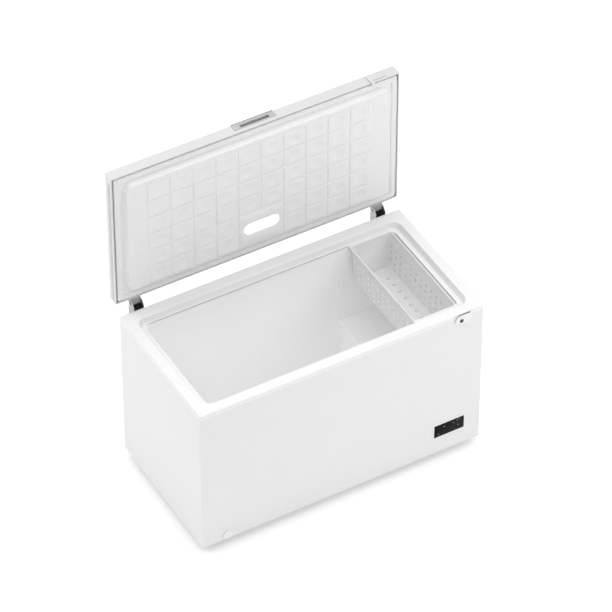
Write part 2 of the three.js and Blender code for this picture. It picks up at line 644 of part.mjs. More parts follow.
// Coil under the arm's heel, drawn at its open-lid length.
function hingeSpring(x) {
  const { turns, perTurn, radius, wire, y, bottom, top } = SPRING;
  const points = [];
  for (let i = 0; i <= turns * perTurn; i++) {
    const angle = (2 * Math.PI * i) / perTurn;
    const z = bottom + ((top - bottom) * i) / (turns * perTurn);
    points.push(new THREE.Vector3(x + radius * Math.cos(angle), y + radius * Math.sin(angle), z));
  }
  return sweep(new Route(points), wire, 5);
}

for (const [side, x] of [["left", -HINGE_X], ["right", HINGE_X]]) {
  add(`hinge_bracket_${side}`, hingeBracket(x), GALVANISED);
  add(`hinge_pin_${side}`, hingePin(x), BRIGHT_STEEL);
  add(`hinge_spring_${side}`, hingeSpring(x), SPRING_STEEL);
}

// ---------------------------------------------------------------- lid, drawn closed and then swung open
const lid = new THREE.Group();
const lidHold = new THREE.Group();
lidHold.position.set(0, PIVOT_Y, PIVOT_Z);
lidHold.rotation.x = -LID_OPEN;
lid.position.set(0, -PIVOT_Y, -PIVOT_Z);
lidHold.add(lid);
freezer.add(lidHold);

const LID_SHEET = 1.2;
const LID_EDGE = [-LID_X, LID_X, LID_FRONT, LID_BACK, 10];

// The space inside the lid's skin, drawn in by a clearance.
function lidInside(bottom, clearance) {
  const wall = LID_SHEET + clearance;
  const section = (inset, z) => ({ points: roundedPoints(grown(LID_EDGE, -inset), 3), z });
  return loft([
    section(wall, bottom), section(wall, LID_TOP - 6.5), section(wall + 2.2, LID_TOP - 3 - clearance),
    section(wall + 5.8, LID_TOP - wall)]);
}

function lidSkin() {
  const edge = LID_EDGE;
  const outer = loft([
    { points: roundedPoints(edge, 3), z: LID_BOTTOM },
    { points: roundedPoints(edge, 3), z: LID_TOP - 6 },
    { points: roundedPoints(grown(edge, -2), 3), z: LID_TOP - 2 },
    { points: roundedPoints(grown(edge, -6), 3), z: LID_TOP },
  ]);
  const { x, half, bottom, top } = HANDLE;
  const handleHole = block(
    x - half + 2, x + half - 2, LID_FRONT - 1, LID_FRONT + 5, bottom + 2, top - 2);
  return cut(outer, lidInside(LID_BOTTOM - 1, 0), handleHole);
}

function lidFoam() {
  const slabPart = lidInside(LID_BOTTOM + 9 + GAP, GAP);
  const middle = slab(grown(GASKET_OUTER, -2 - GAP), LID_BOTTOM + 2 + 2 * GAP, LID_BOTTOM + 11);
  const core = slab(grown(PLUG_FACE, -3), PLUG_FACE_Z + 2 + GAP, LID_BOTTOM + 4);
  const { x, half, bottom, top, depth } = HANDLE;
  const handle = block(x - half, x + half, LID_FRONT, LID_FRONT + depth, bottom, top);
  const lamp = block(
    LAMP.x - LAMP.half - 3, LAMP.x + LAMP.half + 3, LAMP.y - LAMP.height - 3, LAMP.y + LAMP.height + 3,
    740, LAMP_BOARD_Z + 1.6 + GAP);
  return cut(join(slabPart, middle, core), handle, lamp);
}

// Flange round the gasket, dropping to the panel that fits inside the mouth of the tub.
function lidInnerPanel() {
  const edge = grown(LID_EDGE, -LID_SHEET - GAP);
  const faceZ = PLUG_FACE_Z;
  const outerStep = slab(edge, LID_BOTTOM + 7, LID_BOTTOM + 9, 3);
  const flange = slab(GASKET_OUTER, LID_BOTTOM + GAP, LID_BOTTOM + 8);
  const plug = taper(PLUG_FACE, faceZ, PLUG_BASE, LID_BOTTOM + 1);
  const flangeRoom = slab(grown(GASKET_OUTER, -2), LID_BOTTOM + 2 + GAP, LID_BOTTOM + 12);
  const plugRoom = taper(grown(PLUG_FACE, -2.5), faceZ + 2, grown(PLUG_BASE, -2.5), LID_BOTTOM + 1.5);
  const roomOverPlug = slab(grown(PLUG_BASE, -2.5), LID_BOTTOM + 1.4, LID_BOTTOM + 3);
  const lampHole = slab(
    [LAMP.x - LAMP.half, LAMP.x + LAMP.half, LAMP.y - LAMP.height, LAMP.y + LAMP.height, LAMP.height - 1],
    faceZ - 2, faceZ + 4);
  return cut(join(outerStep, flange, plug), flangeRoom, plugRoom, roomOverPlug, lampHole);
}

function lidGasket() {
  const [top, bottom] = [LID_BOTTOM, RIM_TOP + GAP];
  const ring = taper(grown(GASKET_OUTER, -4), bottom, grown(GASKET_OUTER, -1), top);
  return cut(ring, taper(grown(GASKET_INNER, 3), bottom - 0.1, GASKET_INNER, top + 0.1));
}

// Grip set into the lid's front edge, open to the front for the fingers.
function lidHandle() {
  const { x, half, bottom, top, depth } = HANDLE;
  const body = block(
    x - half + GAP, x + half - GAP, LID_FRONT + LID_SHEET + GAP, LID_FRONT + depth - GAP,
    bottom + GAP, top - GAP);
  const hole = 2 + GAP;
  const neck = block(
    x - half + hole, x + half - hole, LID_FRONT - 1, LID_FRONT + 4, bottom + hole, top - hole);
  const face = block(x - half, x + half, LID_FRONT - 2.5, LID_FRONT - GAP, bottom, top + 5);
  const hollow = block(x - 64, x + 68, LID_FRONT - 5, LID_FRONT + 28, bottom + 5, bottom + 21);
  return cut(join(body, neck, face), hollow);
}

function lampLens() {
  const { x, y, half, height } = LAMP;
  const front = [x - half + 1, x + half - 1, y - height + 1, y + height - 1, height - 2];
  const flange = slab(grown(front, 3), PLUG_FACE_Z + 2.3, PLUG_FACE_Z + 4);
  return join(flange, slab(front, PLUG_FACE_Z + 0.6, PLUG_FACE_Z + 3));
}

function lampBoard() {
  const { x, y } = LAMP;
  const z = LAMP_BOARD_Z;
  const lamps = [];
  for (let i = 0; i < 5; i++) {
    lamps.push(block(x - 62 + 30 * i, x - 58 + 30 * i, y - 2, y + 2, z - 1.5, z + 1));
  }
  return join(block(x - 74, x + 74, y - 10, y + 10, z, z + 1.6), ...lamps);
}

// Plate on the lid's front edge with the tongue that drops into the lock.
function lockCatch() {
  const front = FRONT - LOCK.boss + 3.6;
  const pad = block(518, 591, front, LID_FRONT - GAP, LID_BOTTOM + 8, LID_TOP - 10);
  const tongue = block(TONGUE.left, TONGUE.right, front, front + TONGUE.sheet, TONGUE.bottom, LID_BOTTOM + 9);
  const notch = block(523, 540, front - 1, FRONT + 1, 751, 768);
  return cut(join(pad, tongue), notch);
}

// Channel-shaped arm on the lid's back edge, turning on the pin between the bracket's cheeks.
function hingeArm(x) {
  const { outer, sheet, reach } = ARM;
  const inner = outer - sheet;
  const plateY = LID_BACK + GAP;
  const cheek = outline(
    [plateY, LID_TOP - 3], [plateY, LID_BOTTOM + 1], [reach - 24, LID_BOTTOM - 2], [reach - 4, LID_BOTTOM],
    [reach, PIVOT_Z], [reach - 4, PIVOT_Z + 10], [reach - 24, LID_TOP - 6]);
  const cheeks = [prismX(cheek, x - outer, x - inner), prismX(cheek, x + inner, x + outer)];
  const plate = block(x - outer, x + outer, plateY, plateY + 2, LID_BOTTOM + 1, LID_TOP - 3);
  const heel = block(x - outer, x + outer, 338, 351, LID_BOTTOM + 1, LID_BOTTOM + 5);
  return cut(join(...cheeks, plate, heel), barX(PIVOT_Y, PIVOT_Z, x - 40, x + 40, 4.3, 12));
}

add("lid_skin", lidSkin(), WHITE_PAINT, lid);
add("lid_foam", lidFoam(), FOAM, lid);
add("lid_inner_panel", lidInnerPanel(), TUB_PLASTIC, lid);
add("lid_gasket", lidGasket(), GASKET_VINYL, lid);
add("lid_handle", lidHandle(), SILVER_PLASTIC, lid);
add("lid_lamp_lens", lampLens(), LENS, lid);
add("lid_lamp_board", lampBoard(), BOARD_GREEN, lid);
add("lock_catch", lockCatch(), WHITE_PLASTIC, lid);
add("hinge_arm_left", hingeArm(-HINGE_X), GALVANISED, lid);
add("hinge_arm_right", hingeArm(HINGE_X), GALVANISED, lid);

// ---------------------------------------------------------------- basket
// Holes through both long walls, all but the lowest ones next to the corners, and rows through the bottom.
function basketHoles() {
  const { rows, columns, y, pitchY, halfY, z, pitchZ, halfZ } = BASKET_HOLES;
  const holes = [];
  for (let row = 0; row < rows; row++) {
    const margin = row === 0 ? 1 : 0;
    for (let column = margin; column < columns - margin; column++) {
      const [atY, atZ] = [y + pitchY * column, z + pitchZ * row];
      holes.push(block(
        BASKET_LEFT - 20, BASKET_RIGHT + 20, atY - halfY, atY + halfY, atZ - halfZ, atZ + halfZ));
    }
  }
  const drains = BASKET_DRAINS;
  for (const x of drains.columns) {
    for (let i = 0; i < drains.count; i++) {
      const atY = drains.y + drains.pitch * i;
      holes.push(block(
        x - drains.halfX, x + drains.halfX, atY - drains.halfY, atY + drains.halfY,
        BASKET_BOTTOM - 5, BASKET_BOTTOM + 5));
    }
  }
  return holes;
}

function basket() {
  const wall = 2.4;
  const topRect = [BASKET_LEFT + 3, BASKET_RIGHT - 3, -257, 252, 12];
  const bottomRect = [BASKET_LEFT + 16, BASKET_RIGHT - 16, -246, 241, 12];
  const shell = taper(bottomRect, BASKET_BOTTOM, topRect, BASKET_TOP - 0.1, 3);
  const room = taper(
    grown(bottomRect, -wall), BASKET_BOTTOM + wall, grown(topRect, -wall), BASKET_TOP + 1, 3);
  const lip = slab([BASKET_LEFT, BASKET_RIGHT, -277, 267, 12], LEDGE_TOP + GAP, LEDGE_TOP + GAP + 2.4, 3);
  const lipRoom = slab(grown(topRect, -wall), LEDGE_TOP - 2, BASKET_TOP + 2, 3);
  return cut(join(shell, lip), room, lipRoom, ...basketHoles());
}
add("basket", basket(), WHITE_PLASTIC);

// ---------------------------------------------------------------- castors
const AXLE_Z = WHEEL_RADIUS * Math.cos(Math.PI / WHEEL_SIDES);
const RAIL_BOTTOM = FLOOR_GAP - 2.2;
function castorBracket(x, y) {
  const top = RAIL_BOTTOM - 0.02;
  const plate = block(x - 30, x + 30, y - 12, y + 12, top - 2, top);
  const cheek = outline([x - 22, top - 1], [x - 9, 10], [x + 9, 10], [x + 22, top - 1]);
  const cheeks = [prismY(cheek, y - 12, y - 10), prismY(cheek, y + 10, y + 12)];
  return cut(join(plate, ...cheeks), barY(x, AXLE_Z, y - 20, y + 20, 3.3, 12));
}

function castorWheel(x, y) {
  const tyre = barY(x, AXLE_Z, y - 8, y + 8, WHEEL_RADIUS, WHEEL_SIDES);
  return cut(tyre, barY(x, AXLE_Z, y - 20, y + 20, 3.4, 12));
}

function castorAxle(x, y) {
  const shank = barY(x, AXLE_Z, y - 13, y + 13, 3, 12);
  return join(shank, barY(x, AXLE_Z, y - 14.5, y - 12.3, 5, 12), barY(x, AXLE_Z, y + 12.3, y + 14.5, 5, 12));
}

for (const [end, y] of [["front", -CASTOR_Y], ["rear", CASTOR_Y]]) {
  for (const [side, x] of [["left", -CASTOR_X], ["right", CASTOR_X]]) {
    add(`castor_bracket_${end}_${side}`, castorBracket(x, y), GALVANISED);
    add(`castor_wheel_${end}_${side}`, castorWheel(x, y), GREY_PLASTIC);
    add(`castor_axle_${end}_${side}`, castorAxle(x, y), BRIGHT_STEEL);
  }
}

// The origin is on the floor under the middle of everything, open lid included.
const FRONT_MOST = FRONT - LOCK.boss - 1.5;
const BACK_MOST = PIVOT_Y + LID_TOP - PIVOT_Z;
const whole = new THREE.Group();
whole.add(freezer);
freezer.position.y = -(FRONT_MOST + BACK_MOST) / 2;

export default whole;
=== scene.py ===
"""Looks for the chest freezer: fine surfaces, finishes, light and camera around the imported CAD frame."""

import math

import bmesh
import bpy
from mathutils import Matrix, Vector

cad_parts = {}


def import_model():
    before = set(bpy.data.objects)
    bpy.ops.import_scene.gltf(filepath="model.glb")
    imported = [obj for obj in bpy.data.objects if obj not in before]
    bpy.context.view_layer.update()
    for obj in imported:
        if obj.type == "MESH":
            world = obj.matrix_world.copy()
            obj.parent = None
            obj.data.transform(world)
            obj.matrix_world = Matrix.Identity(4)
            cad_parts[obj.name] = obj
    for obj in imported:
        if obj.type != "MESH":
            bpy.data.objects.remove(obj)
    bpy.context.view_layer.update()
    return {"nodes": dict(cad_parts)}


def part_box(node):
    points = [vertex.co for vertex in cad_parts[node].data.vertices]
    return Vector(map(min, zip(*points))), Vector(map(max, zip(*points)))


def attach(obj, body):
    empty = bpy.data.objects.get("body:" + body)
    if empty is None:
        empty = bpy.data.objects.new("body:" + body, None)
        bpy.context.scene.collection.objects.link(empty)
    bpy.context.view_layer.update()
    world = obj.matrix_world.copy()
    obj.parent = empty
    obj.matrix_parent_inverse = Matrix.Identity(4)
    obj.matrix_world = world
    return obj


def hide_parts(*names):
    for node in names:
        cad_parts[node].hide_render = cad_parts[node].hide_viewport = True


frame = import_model()
nodes = frame["nodes"]

# ------------------------------------------------------------------ places, in cabinet millimetres
MM = 0.001
rim_low, rim_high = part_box("rim_frame")
MID_Y = (rim_low[1] + rim_high[1]) / 2
CASE_X, CASE_FRONT, CASE_BACK = 648, -330, 330
CASE_BOTTOM, CASE_TOP = 43, 774
RIM_TOP, LEDGE_TOP = 779, 751
TUB = (-578, 578, -261, 257, 30)
TUB_FLOOR, STEP_X, STEP_TOP = 118, 318, 362
PIVOT_Y, PIVOT_Z = 364, 793
LID = (-652.4, 652.4, -329.4, 332, 3.5)
LID_BOTTOM, LID_TOP = 784, 836
PLUG_Z = 760
PLUG_FACE = (-596, 596, -278, 268, 32)
PLUG_BASE = (-602, 602, -284, 274, 38)
GROOVE_FLOOR, GROOVE_RECT = 806, (-643.4, 643.4, -327.8, 330.4, 3)
GRID_X, GRID_Y = (-508, 512), (-258, 264.5)
GRID_COLUMNS, GRID_ROWS = 10, 6
CELL_GROOVE_HALF, CELL_GROOVE_DEPTH = 1.6, 3.0
DIMPLE = [(26, 0), (24.5, 0.3), (22, 1.3), (18, 2.2), (11, 2.6), (5, 2.7)]
LAMP_X, LAMP_Y, LAMP_HALF, LAMP_HEIGHT = 4, 176, 79, 26
BASKET_X, BASKET_BOTTOM, BASKET_TOP = (366, 566), 575, 756.6
WALL_HOLE_COLUMNS, WALL_HOLE_ROWS = 13, 4
WALL_HOLE_START, WALL_HOLE_PITCH = (-235, 589.5), (39, 33.2)
FLOOR_HOLE_COLUMNS, FLOOR_HOLE_COUNT = (424, 466, 508), 9
FLOOR_HOLE_START, FLOOR_HOLE_PITCH = -181.5, 44.75
LOCK_X, LOCK_Z = 540, 745
LOCK_PLATE, LOCK_FACE, LOCK_BACK = (514, 588, 724, 773), -339.5, -332.05
PANEL_X, PANEL_Z = 501, 164
DRAIN_X, DRAIN_Y, DRAIN_Z = -535, -215, 66
HINGES = {"left": -561, "right": 561}
SPRING_Y, SPRING_RADIUS, SPRING_BOTTOM, SPRING_HEIGHT = 350, 8.4, 655.4, 124


def standing(p):
    """A point in cabinet millimetres, in scene metres."""
    return (p[0] * MM, p[1] * MM + MID_Y, p[2] * MM)


def swung(p):
    """A point drawn on the closed lid, where it is with the lid open."""
    return standing((p[0], PIVOT_Y + p[2] - PIVOT_Z, PIVOT_Z - (p[1] - PIVOT_Y)))


# ------------------------------------------------------------------ finishes
def finish(name, colour, roughness, metallic=0.0, grain=400.0, bump=0.02, mottle=0.03, rough_swing=0.08,
           coat=0.0, stretch=(1, 1, 1), spangle=0.0, spec=0.5, emission=0.0):
    """A surface whose colour, gloss and height vary finely, by noise in object space."""
    made = bpy.data.materials.new(name)
    made.use_nodes = True
    tree = made.node_tree
    shader = tree.nodes["Principled BSDF"]
    new, link = tree.nodes.new, tree.links.new
    shader.inputs["Metallic"].default_value = metallic
    shader.inputs["Specular IOR Level"].default_value = spec
    shader.inputs["Coat Weight"].default_value = coat
    shader.inputs["Coat Roughness"].default_value = 0.12
    place = new("ShaderNodeTexCoord")
    scale = new("ShaderNodeMapping")
    scale.inputs["Scale"].default_value = stretch
    link(place.outputs["Object"], scale.inputs["Vector"])

    def noise(size, detail):
        texture = new("ShaderNodeTexNoise")
        texture.inputs["Scale"].default_value = size
        texture.inputs["Detail"].default_value = detail
        link(scale.outputs["Vector"], texture.inputs["Vector"])
        return texture

    broad = noise(grain / 60, 4)
    fine = noise(grain, 3)
    ramp = new("ShaderNodeValToRGB")
    ramp.color_ramp.elements[0].position = 0.3
    ramp.color_ramp.elements[1].position = 0.7
    ramp.color_ramp.elements[0].color = tuple(c * (1 - mottle) for c in colour) + (1,)
    ramp.color_ramp.elements[1].color = tuple(min(1, c * (1 + mottle)) for c in colour) + (1,)
    link(broad.outputs["Fac"], ramp.inputs["Fac"])
    surface_colour = ramp.outputs["Color"]
    if spangle:
        cells = new("ShaderNodeTexVoronoi")
        cells.inputs["Scale"].default_value = 90
        link(scale.outputs["Vector"], cells.inputs["Vector"])
        mix = new("ShaderNodeMix")
        mix.data_type = "RGBA"
        mix.blend_type = "MULTIPLY"
        mix.inputs["Factor"].default_value = spangle
        grey = new("ShaderNodeRGBToBW")
        link(cells.outputs["Color"], grey.inputs["Color"])
        link(surface_colour, mix.inputs["A"])
        link(grey.outputs["Val"], mix.inputs["B"])
        surface_colour = mix.outputs["Result"]
    link(surface_colour, shader.inputs["Base Color"])
    gloss = new("ShaderNodeMapRange")
    gloss.inputs["To Min"].default_value = max(0.02, roughness - rough_swing)
    gloss.inputs["To Max"].default_value = min(1, roughness + rough_swing)
    link(broad.outputs["Fac"], gloss.inputs["Value"])
    link(gloss.outputs["Result"], shader.inputs["Roughness"])
    relief = new("ShaderNodeBump")
    relief.inputs["Strength"].default_value = bump
    relief.inputs["Distance"].default_value = 0.0006
    link(fine.outputs["Fac"], relief.inputs["Height"])
    link(relief.outputs["Normal"], shader.inputs["Normal"])
    if emission:
        shader.inputs["Emission Color"].default_value = (1, 1, 1, 1)
        shader.inputs["Emission Strength"].default_value = emission
    return made


WHITE_PAINT = finish("white_paint", (0.80, 0.80, 0.80), 0.34, grain=700, bump=0.05, mottle=0.006, coat=0.25)
LID_PAINT = finish("lid_paint", (0.73, 0.73, 0.73), 0.34, grain=700, bump=0.05, mottle=0.006, coat=0.25)
WHITE_PLASTIC = finish("white_plastic", (0.86, 0.86, 0.86), 0.42, grain=1500, bump=0.08, mottle=0.006)
# the tub's plastic gives off a faint glow (emission 0.09): painted light that brightens the tub's inside, not a
# lamp
TUB_PLASTIC_PAINTED_GLOW = finish("tub_plastic", (0.86, 0.86, 0.86), 0.38, grain=900, bump=0.04, mottle=0.01, emission=0.09)
PANEL_PLASTIC = finish("lid_panel_plastic", (0.88, 0.88, 0.88), 0.36, grain=900, bump=0.04, mottle=0.01)
BASKET_PLASTIC = finish("basket_plastic", (0.82, 0.82, 0.82), 0.4, grain=1200, bump=0.06, mottle=0.01)
GASKET_VINYL = finish("gasket_vinyl", (0.86, 0.86, 0.855), 0.55, grain=1100, bump=0.1, mottle=0.02)
GALVANISED = finish("galvanised", (0.52, 0.53, 0.55), 0.42, 0.85, grain=500, bump=0.06, spangle=0.35)
BRIGHT_STEEL = finish("bright_steel", (0.68, 0.69, 0.7), 0.24, 1.0, grain=900, bump=0.05, stretch=(1, 1, 12))
HINGE_ARM_STEEL = finish("hinge_arm_steel", (0.46, 0.46, 0.465), 0.55, 0.15, grain=500, bump=0.06, mottle=0.05)
HINGE_STEEL = finish("hinge_steel", (0.42, 0.43, 0.44), 0.38, 0.85, grain=900, bump=0.08, stretch=(1, 1, 6))
LOCK_STEEL = finish("lock_steel", (0.10, 0.10, 0.105), 0.35, 0.6, grain=900, bump=0.05)
SPRING_STEEL = finish("spring_steel", (0.03, 0.03, 0.032), 0.45, 0.7, grain=1500, bump=0.1)
SILVER_PLASTIC = finish("silver_plastic", (0.56, 0.56, 0.57), 0.36, 0.25, grain=1800, bump=0.12, mottle=0.02)
DARK_PLASTIC = finish("dark_plastic", (0.045, 0.045, 0.048), 0.45, grain=1500, bump=0.12)
GREY_PLASTIC = finish("grey_plastic", (0.16, 0.165, 0.17), 0.5, grain=1300, bump=0.12)
BLACK_GLOSS = finish("black_gloss", (0.003, 0.003, 0.004), 0.16, grain=300, bump=0.004, rough_swing=0.03,
                     spec=0.08)
BLACK_PAINT = finish("black_paint", (0.012, 0.013, 0.014), 0.35, grain=500, bump=0.15, coat=0.2)
RUBBER = finish("rubber", (0.022, 0.022, 0.022), 0.75, grain=1600, bump=0.3)
FOAM = finish("insulating_foam", (0.78, 0.66, 0.38), 0.9, grain=700, bump=1.0, mottle=0.12)
COPPER = finish("copper", (0.72, 0.36, 0.2), 0.32, 1.0, grain=900, bump=0.05, mottle=0.1)
BOARD_GREEN = finish("board_green", (0.012, 0.1, 0.045), 0.4, grain=900, bump=0.06, mottle=0.15)
MARK_GREY = finish("mark_grey", (0.22, 0.23, 0.24), 0.5, grain=1500, bump=0.02)
LENS = finish("lens", (0.9, 0.9, 0.9), 0.3, grain=900, bump=0.03, mottle=0.01, emission=1.1)


# ------------------------------------------------------------------ mesh helpers
def rounded(rect, steps=8):
    """Corner points of a rounded rectangle (x low, x high, y low, y high, radius), anticlockwise."""
    x0, x1, y0, y1, r = rect
    points = []
    corners = ((x1 - r, y0 + r, -90), (x1 - r, y1 - r, 0), (x0 + r, y1 - r, 90), (x0 + r, y0 + r, 180))
    for cx, cy, start in corners:
        for i in range(steps + 1):
            a = math.radians(start + 90 * i / steps)
            points.append((cx + r * math.cos(a), cy + r * math.sin(a)))
    return points


def grown(rect, by):
    """A rounded rectangle pushed outwards on every side, or inwards where the distance is negative."""
    x0, x1, y0, y1, r = rect
    return (x0 - by, x1 + by, y0 - by, y1 + by, max(r + by, 0.4))


def level(rect, z, steps=8):
    """A rounded rectangle's points at one height."""
    return [(x, y, z) for x, y in rounded(rect, steps)]


def eased(corners, steps=4, closed=False):
    """A polyline through corners (u, v, radius), with each corner rounded."""
    out = []
    last = len(corners) - 1
    for i, (u, v, r) in enumerate(corners):
        here = Vector((u, v))
        if not r or (not closed and i in (0, last)):
            out.append((u, v))
            continue
        before = Vector(corners[i - 1][:2])
        after = Vector(corners[(i + 1) % (last + 1)][:2])
        start = here + (before - here).normalized() * r
        end = here + (after - here).normalized() * r
        for k in range(steps + 1):
            t = k / steps
            q = start * (1 - t) ** 2 + here * 2 * t * (1 - t) + end * t * t
            out.append((q.x, q.y))
    return out


def sweep(rect, profile, steps=8):
    """Level rings round a rounded rectangle, one for each (outward distance, height)."""
    return [level(grown(rect, d), z, steps) for d, z in profile]


def loft(rings, loop=False):
    """Points and faces of a skin over rings of equal length, capped unless the last ring joins the first."""
    n = len(rings[0])
    points = [p for ring in rings for p in ring]
    faces = []
    spans = len(rings) if loop else len(rings) - 1
    for k in range(spans):
        a, b = k * n, ((k + 1) % len(rings)) * n
        for i in range(n):
            j = (i + 1) % n
            faces.append((a + i, a + j, b + j, b + i))
    if not loop:
        faces.append(tuple(reversed(range(n))))
        faces.append(tuple(range(spans * n, spans * n + n)))
    return points, faces


def together(*shapes):
    """Several (points, faces) as one."""
    points, faces = [], []
    for more, skins in shapes:
        base = len(points)
        points += more
        faces += [tuple(base + i for i in f) for f in skins]
    return points, faces


def along_axis(u, v, w, axis):
    """A flat point (u, v) set at w along an axis: (x, z) along y, (y, z) along x, (x, y) along z."""
    return {"y": (u, w, v), "x": (w, u, v), "z": (u, v, w)}[axis]


def prism(outline, low, high, axis="y"):
    """An outline pushed along an axis."""
    return loft([[along_axis(u, v, w, axis) for u, v in outline] for w in (low, high)])


def soft_prism(rect, low, high, edge, axis="y", steps=6):
    """A rounded rectangle pushed along an axis, its edge rounded at the high end."""
    turn = (high - low) / abs(high - low)
    quarter = (0, math.pi / 8, math.pi / 4, 3 * math.pi / 8, math.pi / 2)
    eased_end = [(edge * (1 - math.cos(t)), high - turn * edge * (1 - math.sin(t))) for t in quarter]
    return loft([[along_axis(u, v, w, axis) for u, v in rounded(grown(rect, -inset), steps)]
                 for inset, w in [(0, low)] + eased_end])


def box(x0, x1, y0, y1, z0, z1, edge=0.0):
    """A block with rounded vertical and top edges."""
    if not edge:
        return prism([(x0, y0), (x1, y0), (x1, y1), (x0, y1)], z0, z1, "z")
    profile = eased([(-edge * 1.2, z0, 0), (0, z0, edge), (0, z1, edge), (-edge * 1.2, z1, 0)])
    return loft(sweep((x0, x1, y0, y1, edge), profile, 4))


def disc(u, v, profile, axis="y", sides=32):
    """A turned solid about an axis through (u, v), from (radius, height) points."""
    rings = []
    for radius, w in profile:
        ring = []
        for i in range(sides):
            a = 2 * math.pi * (i + 0.5) / sides
            ring.append(along_axis(u + radius * math.cos(a), v + radius * math.sin(a), w, axis))
        rings.append(ring)
    return loft(rings)


def tube(path, radius, sides=10):
    """A round bar along a list of points."""
    path = [Vector(p) for p in path]
    rings = []
    across = None
    for i, here in enumerate(path):
        along = (path[min(i + 1, len(path) - 1)] - path[max(i - 1, 0)]).normalized()
        if across is None:
            across = along.orthogonal().normalized()
        across = (across - along * across.dot(along)).normalized()
        up = along.cross(across)
        rings.append([tuple(here + radius * (across * math.cos(a) + up * math.sin(a)))
                      for a in (2 * math.pi * k / sides for k in range(sides))])
    return loft(rings)


def make(name, shape, material, at=standing):
    """An object from (points, faces) in cabinet millimetres, with its faces turned outwards."""
    points, faces = shape
    mesh = bpy.data.meshes.new(name)
    mesh.from_pydata([at(p) for p in points], [], faces)
    fixer = bmesh.new()
    fixer.from_mesh(mesh)
    bmesh.ops.recalc_face_normals(fixer, faces=fixer.faces)
    fixer.to_mesh(mesh)
    fixer.free()
    made = bpy.data.objects.new(name, mesh)
    bpy.context.scene.collection.objects.link(made)
    if material:
        mesh.materials.append(material)
    return made


def combine(target, tool, how):
    """Cuts a tool object out of an object, or joins it on, leaves a plain mesh and removes the tool."""
    step = target.modifiers.new("carve", "BOOLEAN")
    step.operation = how
    step.solver = "EXACT"
    step.object = tool
    bpy.context.view_layer.update()
    solved = bpy.data.meshes.new_from_object(target.evaluated_get(bpy.context.evaluated_depsgraph_get()))
    target.modifiers.clear()
    target.data = solved
    bpy.data.objects.remove(tool)


def carve(target, shape, how="DIFFERENCE", at=standing):
    """Cuts a shape out of an object, or joins it on."""
    combine(target, make("tool", shape, None, at), how)


def shade(target, angle):
    """Smooth faces, with edges sharper than an angle kept crisp."""
    for face in target.data.polygons:
        face.use_smooth = True
    target.data.set_sharp_from_angle(angle=math.radians(angle))


def soften(target, width):
    """Narrow bevels along an object's sharp edges."""
    step = target.modifiers.new("edges", "BEVEL")
    step.width = width * MM
    step.segments = 2
    step.limit_method = "ANGLE"
    step.angle_limit = math.radians(40)


def show(target, body, *replaced, slot=None, angle=32, bevel=0.0):
    """Finishes a piece: edges, shading, the body it rides on and the CAD nodes it stands for."""
    if bevel:
        soften(target, bevel)
    shade(target, angle)
    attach(target, body)
    if replaced:
        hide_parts(*replaced)


def keep(node, material, bevel=0.0):
    """A CAD node that stays, with its finish and softened edges."""
    target = nodes[node]
    target.data.materials.clear()
    target.data.materials.append(material)
    if bevel:
        soften(target, bevel)


# ------------------------------------------------------------------ cabinet
def u_wrap(radius, inset, back):
    """Plan of the case's bent sheet: both sides and the front, bent at the two front corners."""
    x, y = CASE_X - inset, CASE_FRONT + inset
    r = max(radius - inset, 1)
    points = [(-x, back)]
    for cx, start in ((-x + r, 180), (x - r, 270)):
        for i in range(9):
            a = math.radians(start + 90 * i / 8)
            points.append((cx + r * math.cos(a), y + r + r * math.sin(a)))
    points.append((x, back))
    return points


def cabinet_shell():
    """The painted wrap, with openings for the panel, the drain and the side vent."""
    outer = u_wrap(3, 0, CASE_BACK - 1.2)
    inner = u_wrap(3, 1, CASE_BACK - 1.2)
    shape = make("cabinet_shell_skin", prism(outer + inner[::-1], CASE_BOTTOM, CASE_TOP, "z"), WHITE_PAINT)
    panel_hole = (PANEL_X - 73.5, PANEL_X + 73.5, PANEL_Z - 36, PANEL_Z + 36, 3)
    carve(shape, soft_prism(panel_hole, -335, -325, 0.01))
    carve(shape, disc(DRAIN_X, DRAIN_Z, [(13.3, -335), (13.3, -325)]))
    slots = [soft_prism((-60 + 44 * i, -34 + 44 * i, 100, 220, 6), 640, 655, 0.01, "x") for i in range(5)]
    carve(shape, together(*slots))
    show(shape, "cabinet", "cabinet_shell", slot="white_paint", angle=25)


def rim_frame():
    """The plastic frame round the mouth, with the ledge that carries the basket."""
    edge = (-650, 650, -332, 332, 4.5)
    mouth_top = (-606, 606, -289, 279, 42)
    mouth_low = (-598, 598, -281, 271, 36)
    tub_mouth = (-577, 577, -260, 256, 29)
    outer = eased([(-1.2, 757.6, 0), (0, 757, 0.5), (0, RIM_TOP, 3.6), (-12, RIM_TOP, 0)], 6)
    upper = eased([(12, RIM_TOP, 0), (0, RIM_TOP, 3.2), (-2.2, 771, 0)], 6)
    lower = eased([(2.2, 758.7, 0), (0, LEDGE_TOP, 3), (-10, LEDGE_TOP, 0)], 5)
    mouth = eased([(8, LEDGE_TOP, 0), (0, LEDGE_TOP, 1.6), (0, 748, 0)], 4)
    rings = sweep(edge, outer, 10) + sweep(mouth_top, upper, 10) + sweep(mouth_low, lower, 10)
    rings += sweep(tub_mouth, mouth, 10)
    rings += [level(grown(mouth_top, 3), 748, 10), level(grown(mouth_top, 3), 774.9, 10)]
    rings += [level(grown(edge, -1.8), 774.9, 10), level(grown(edge, -1.8), 757.6, 10)]
    shape = make("rim_moulding", loft(rings, loop=True), WHITE_PLASTIC)
    show(shape, "cabinet", "rim_frame", slot="white_plastic", angle=25)


def tub_solid(by, top):
    """The tub's space, grown by a wall thickness, with its bay step and a soft round at the floor."""
    floor = TUB_FLOOR - by
    low = eased([(-20, floor, 0), (by, floor, 14 + by), (by, top, 0)], 6)
    return loft(sweep(TUB, low, 10))


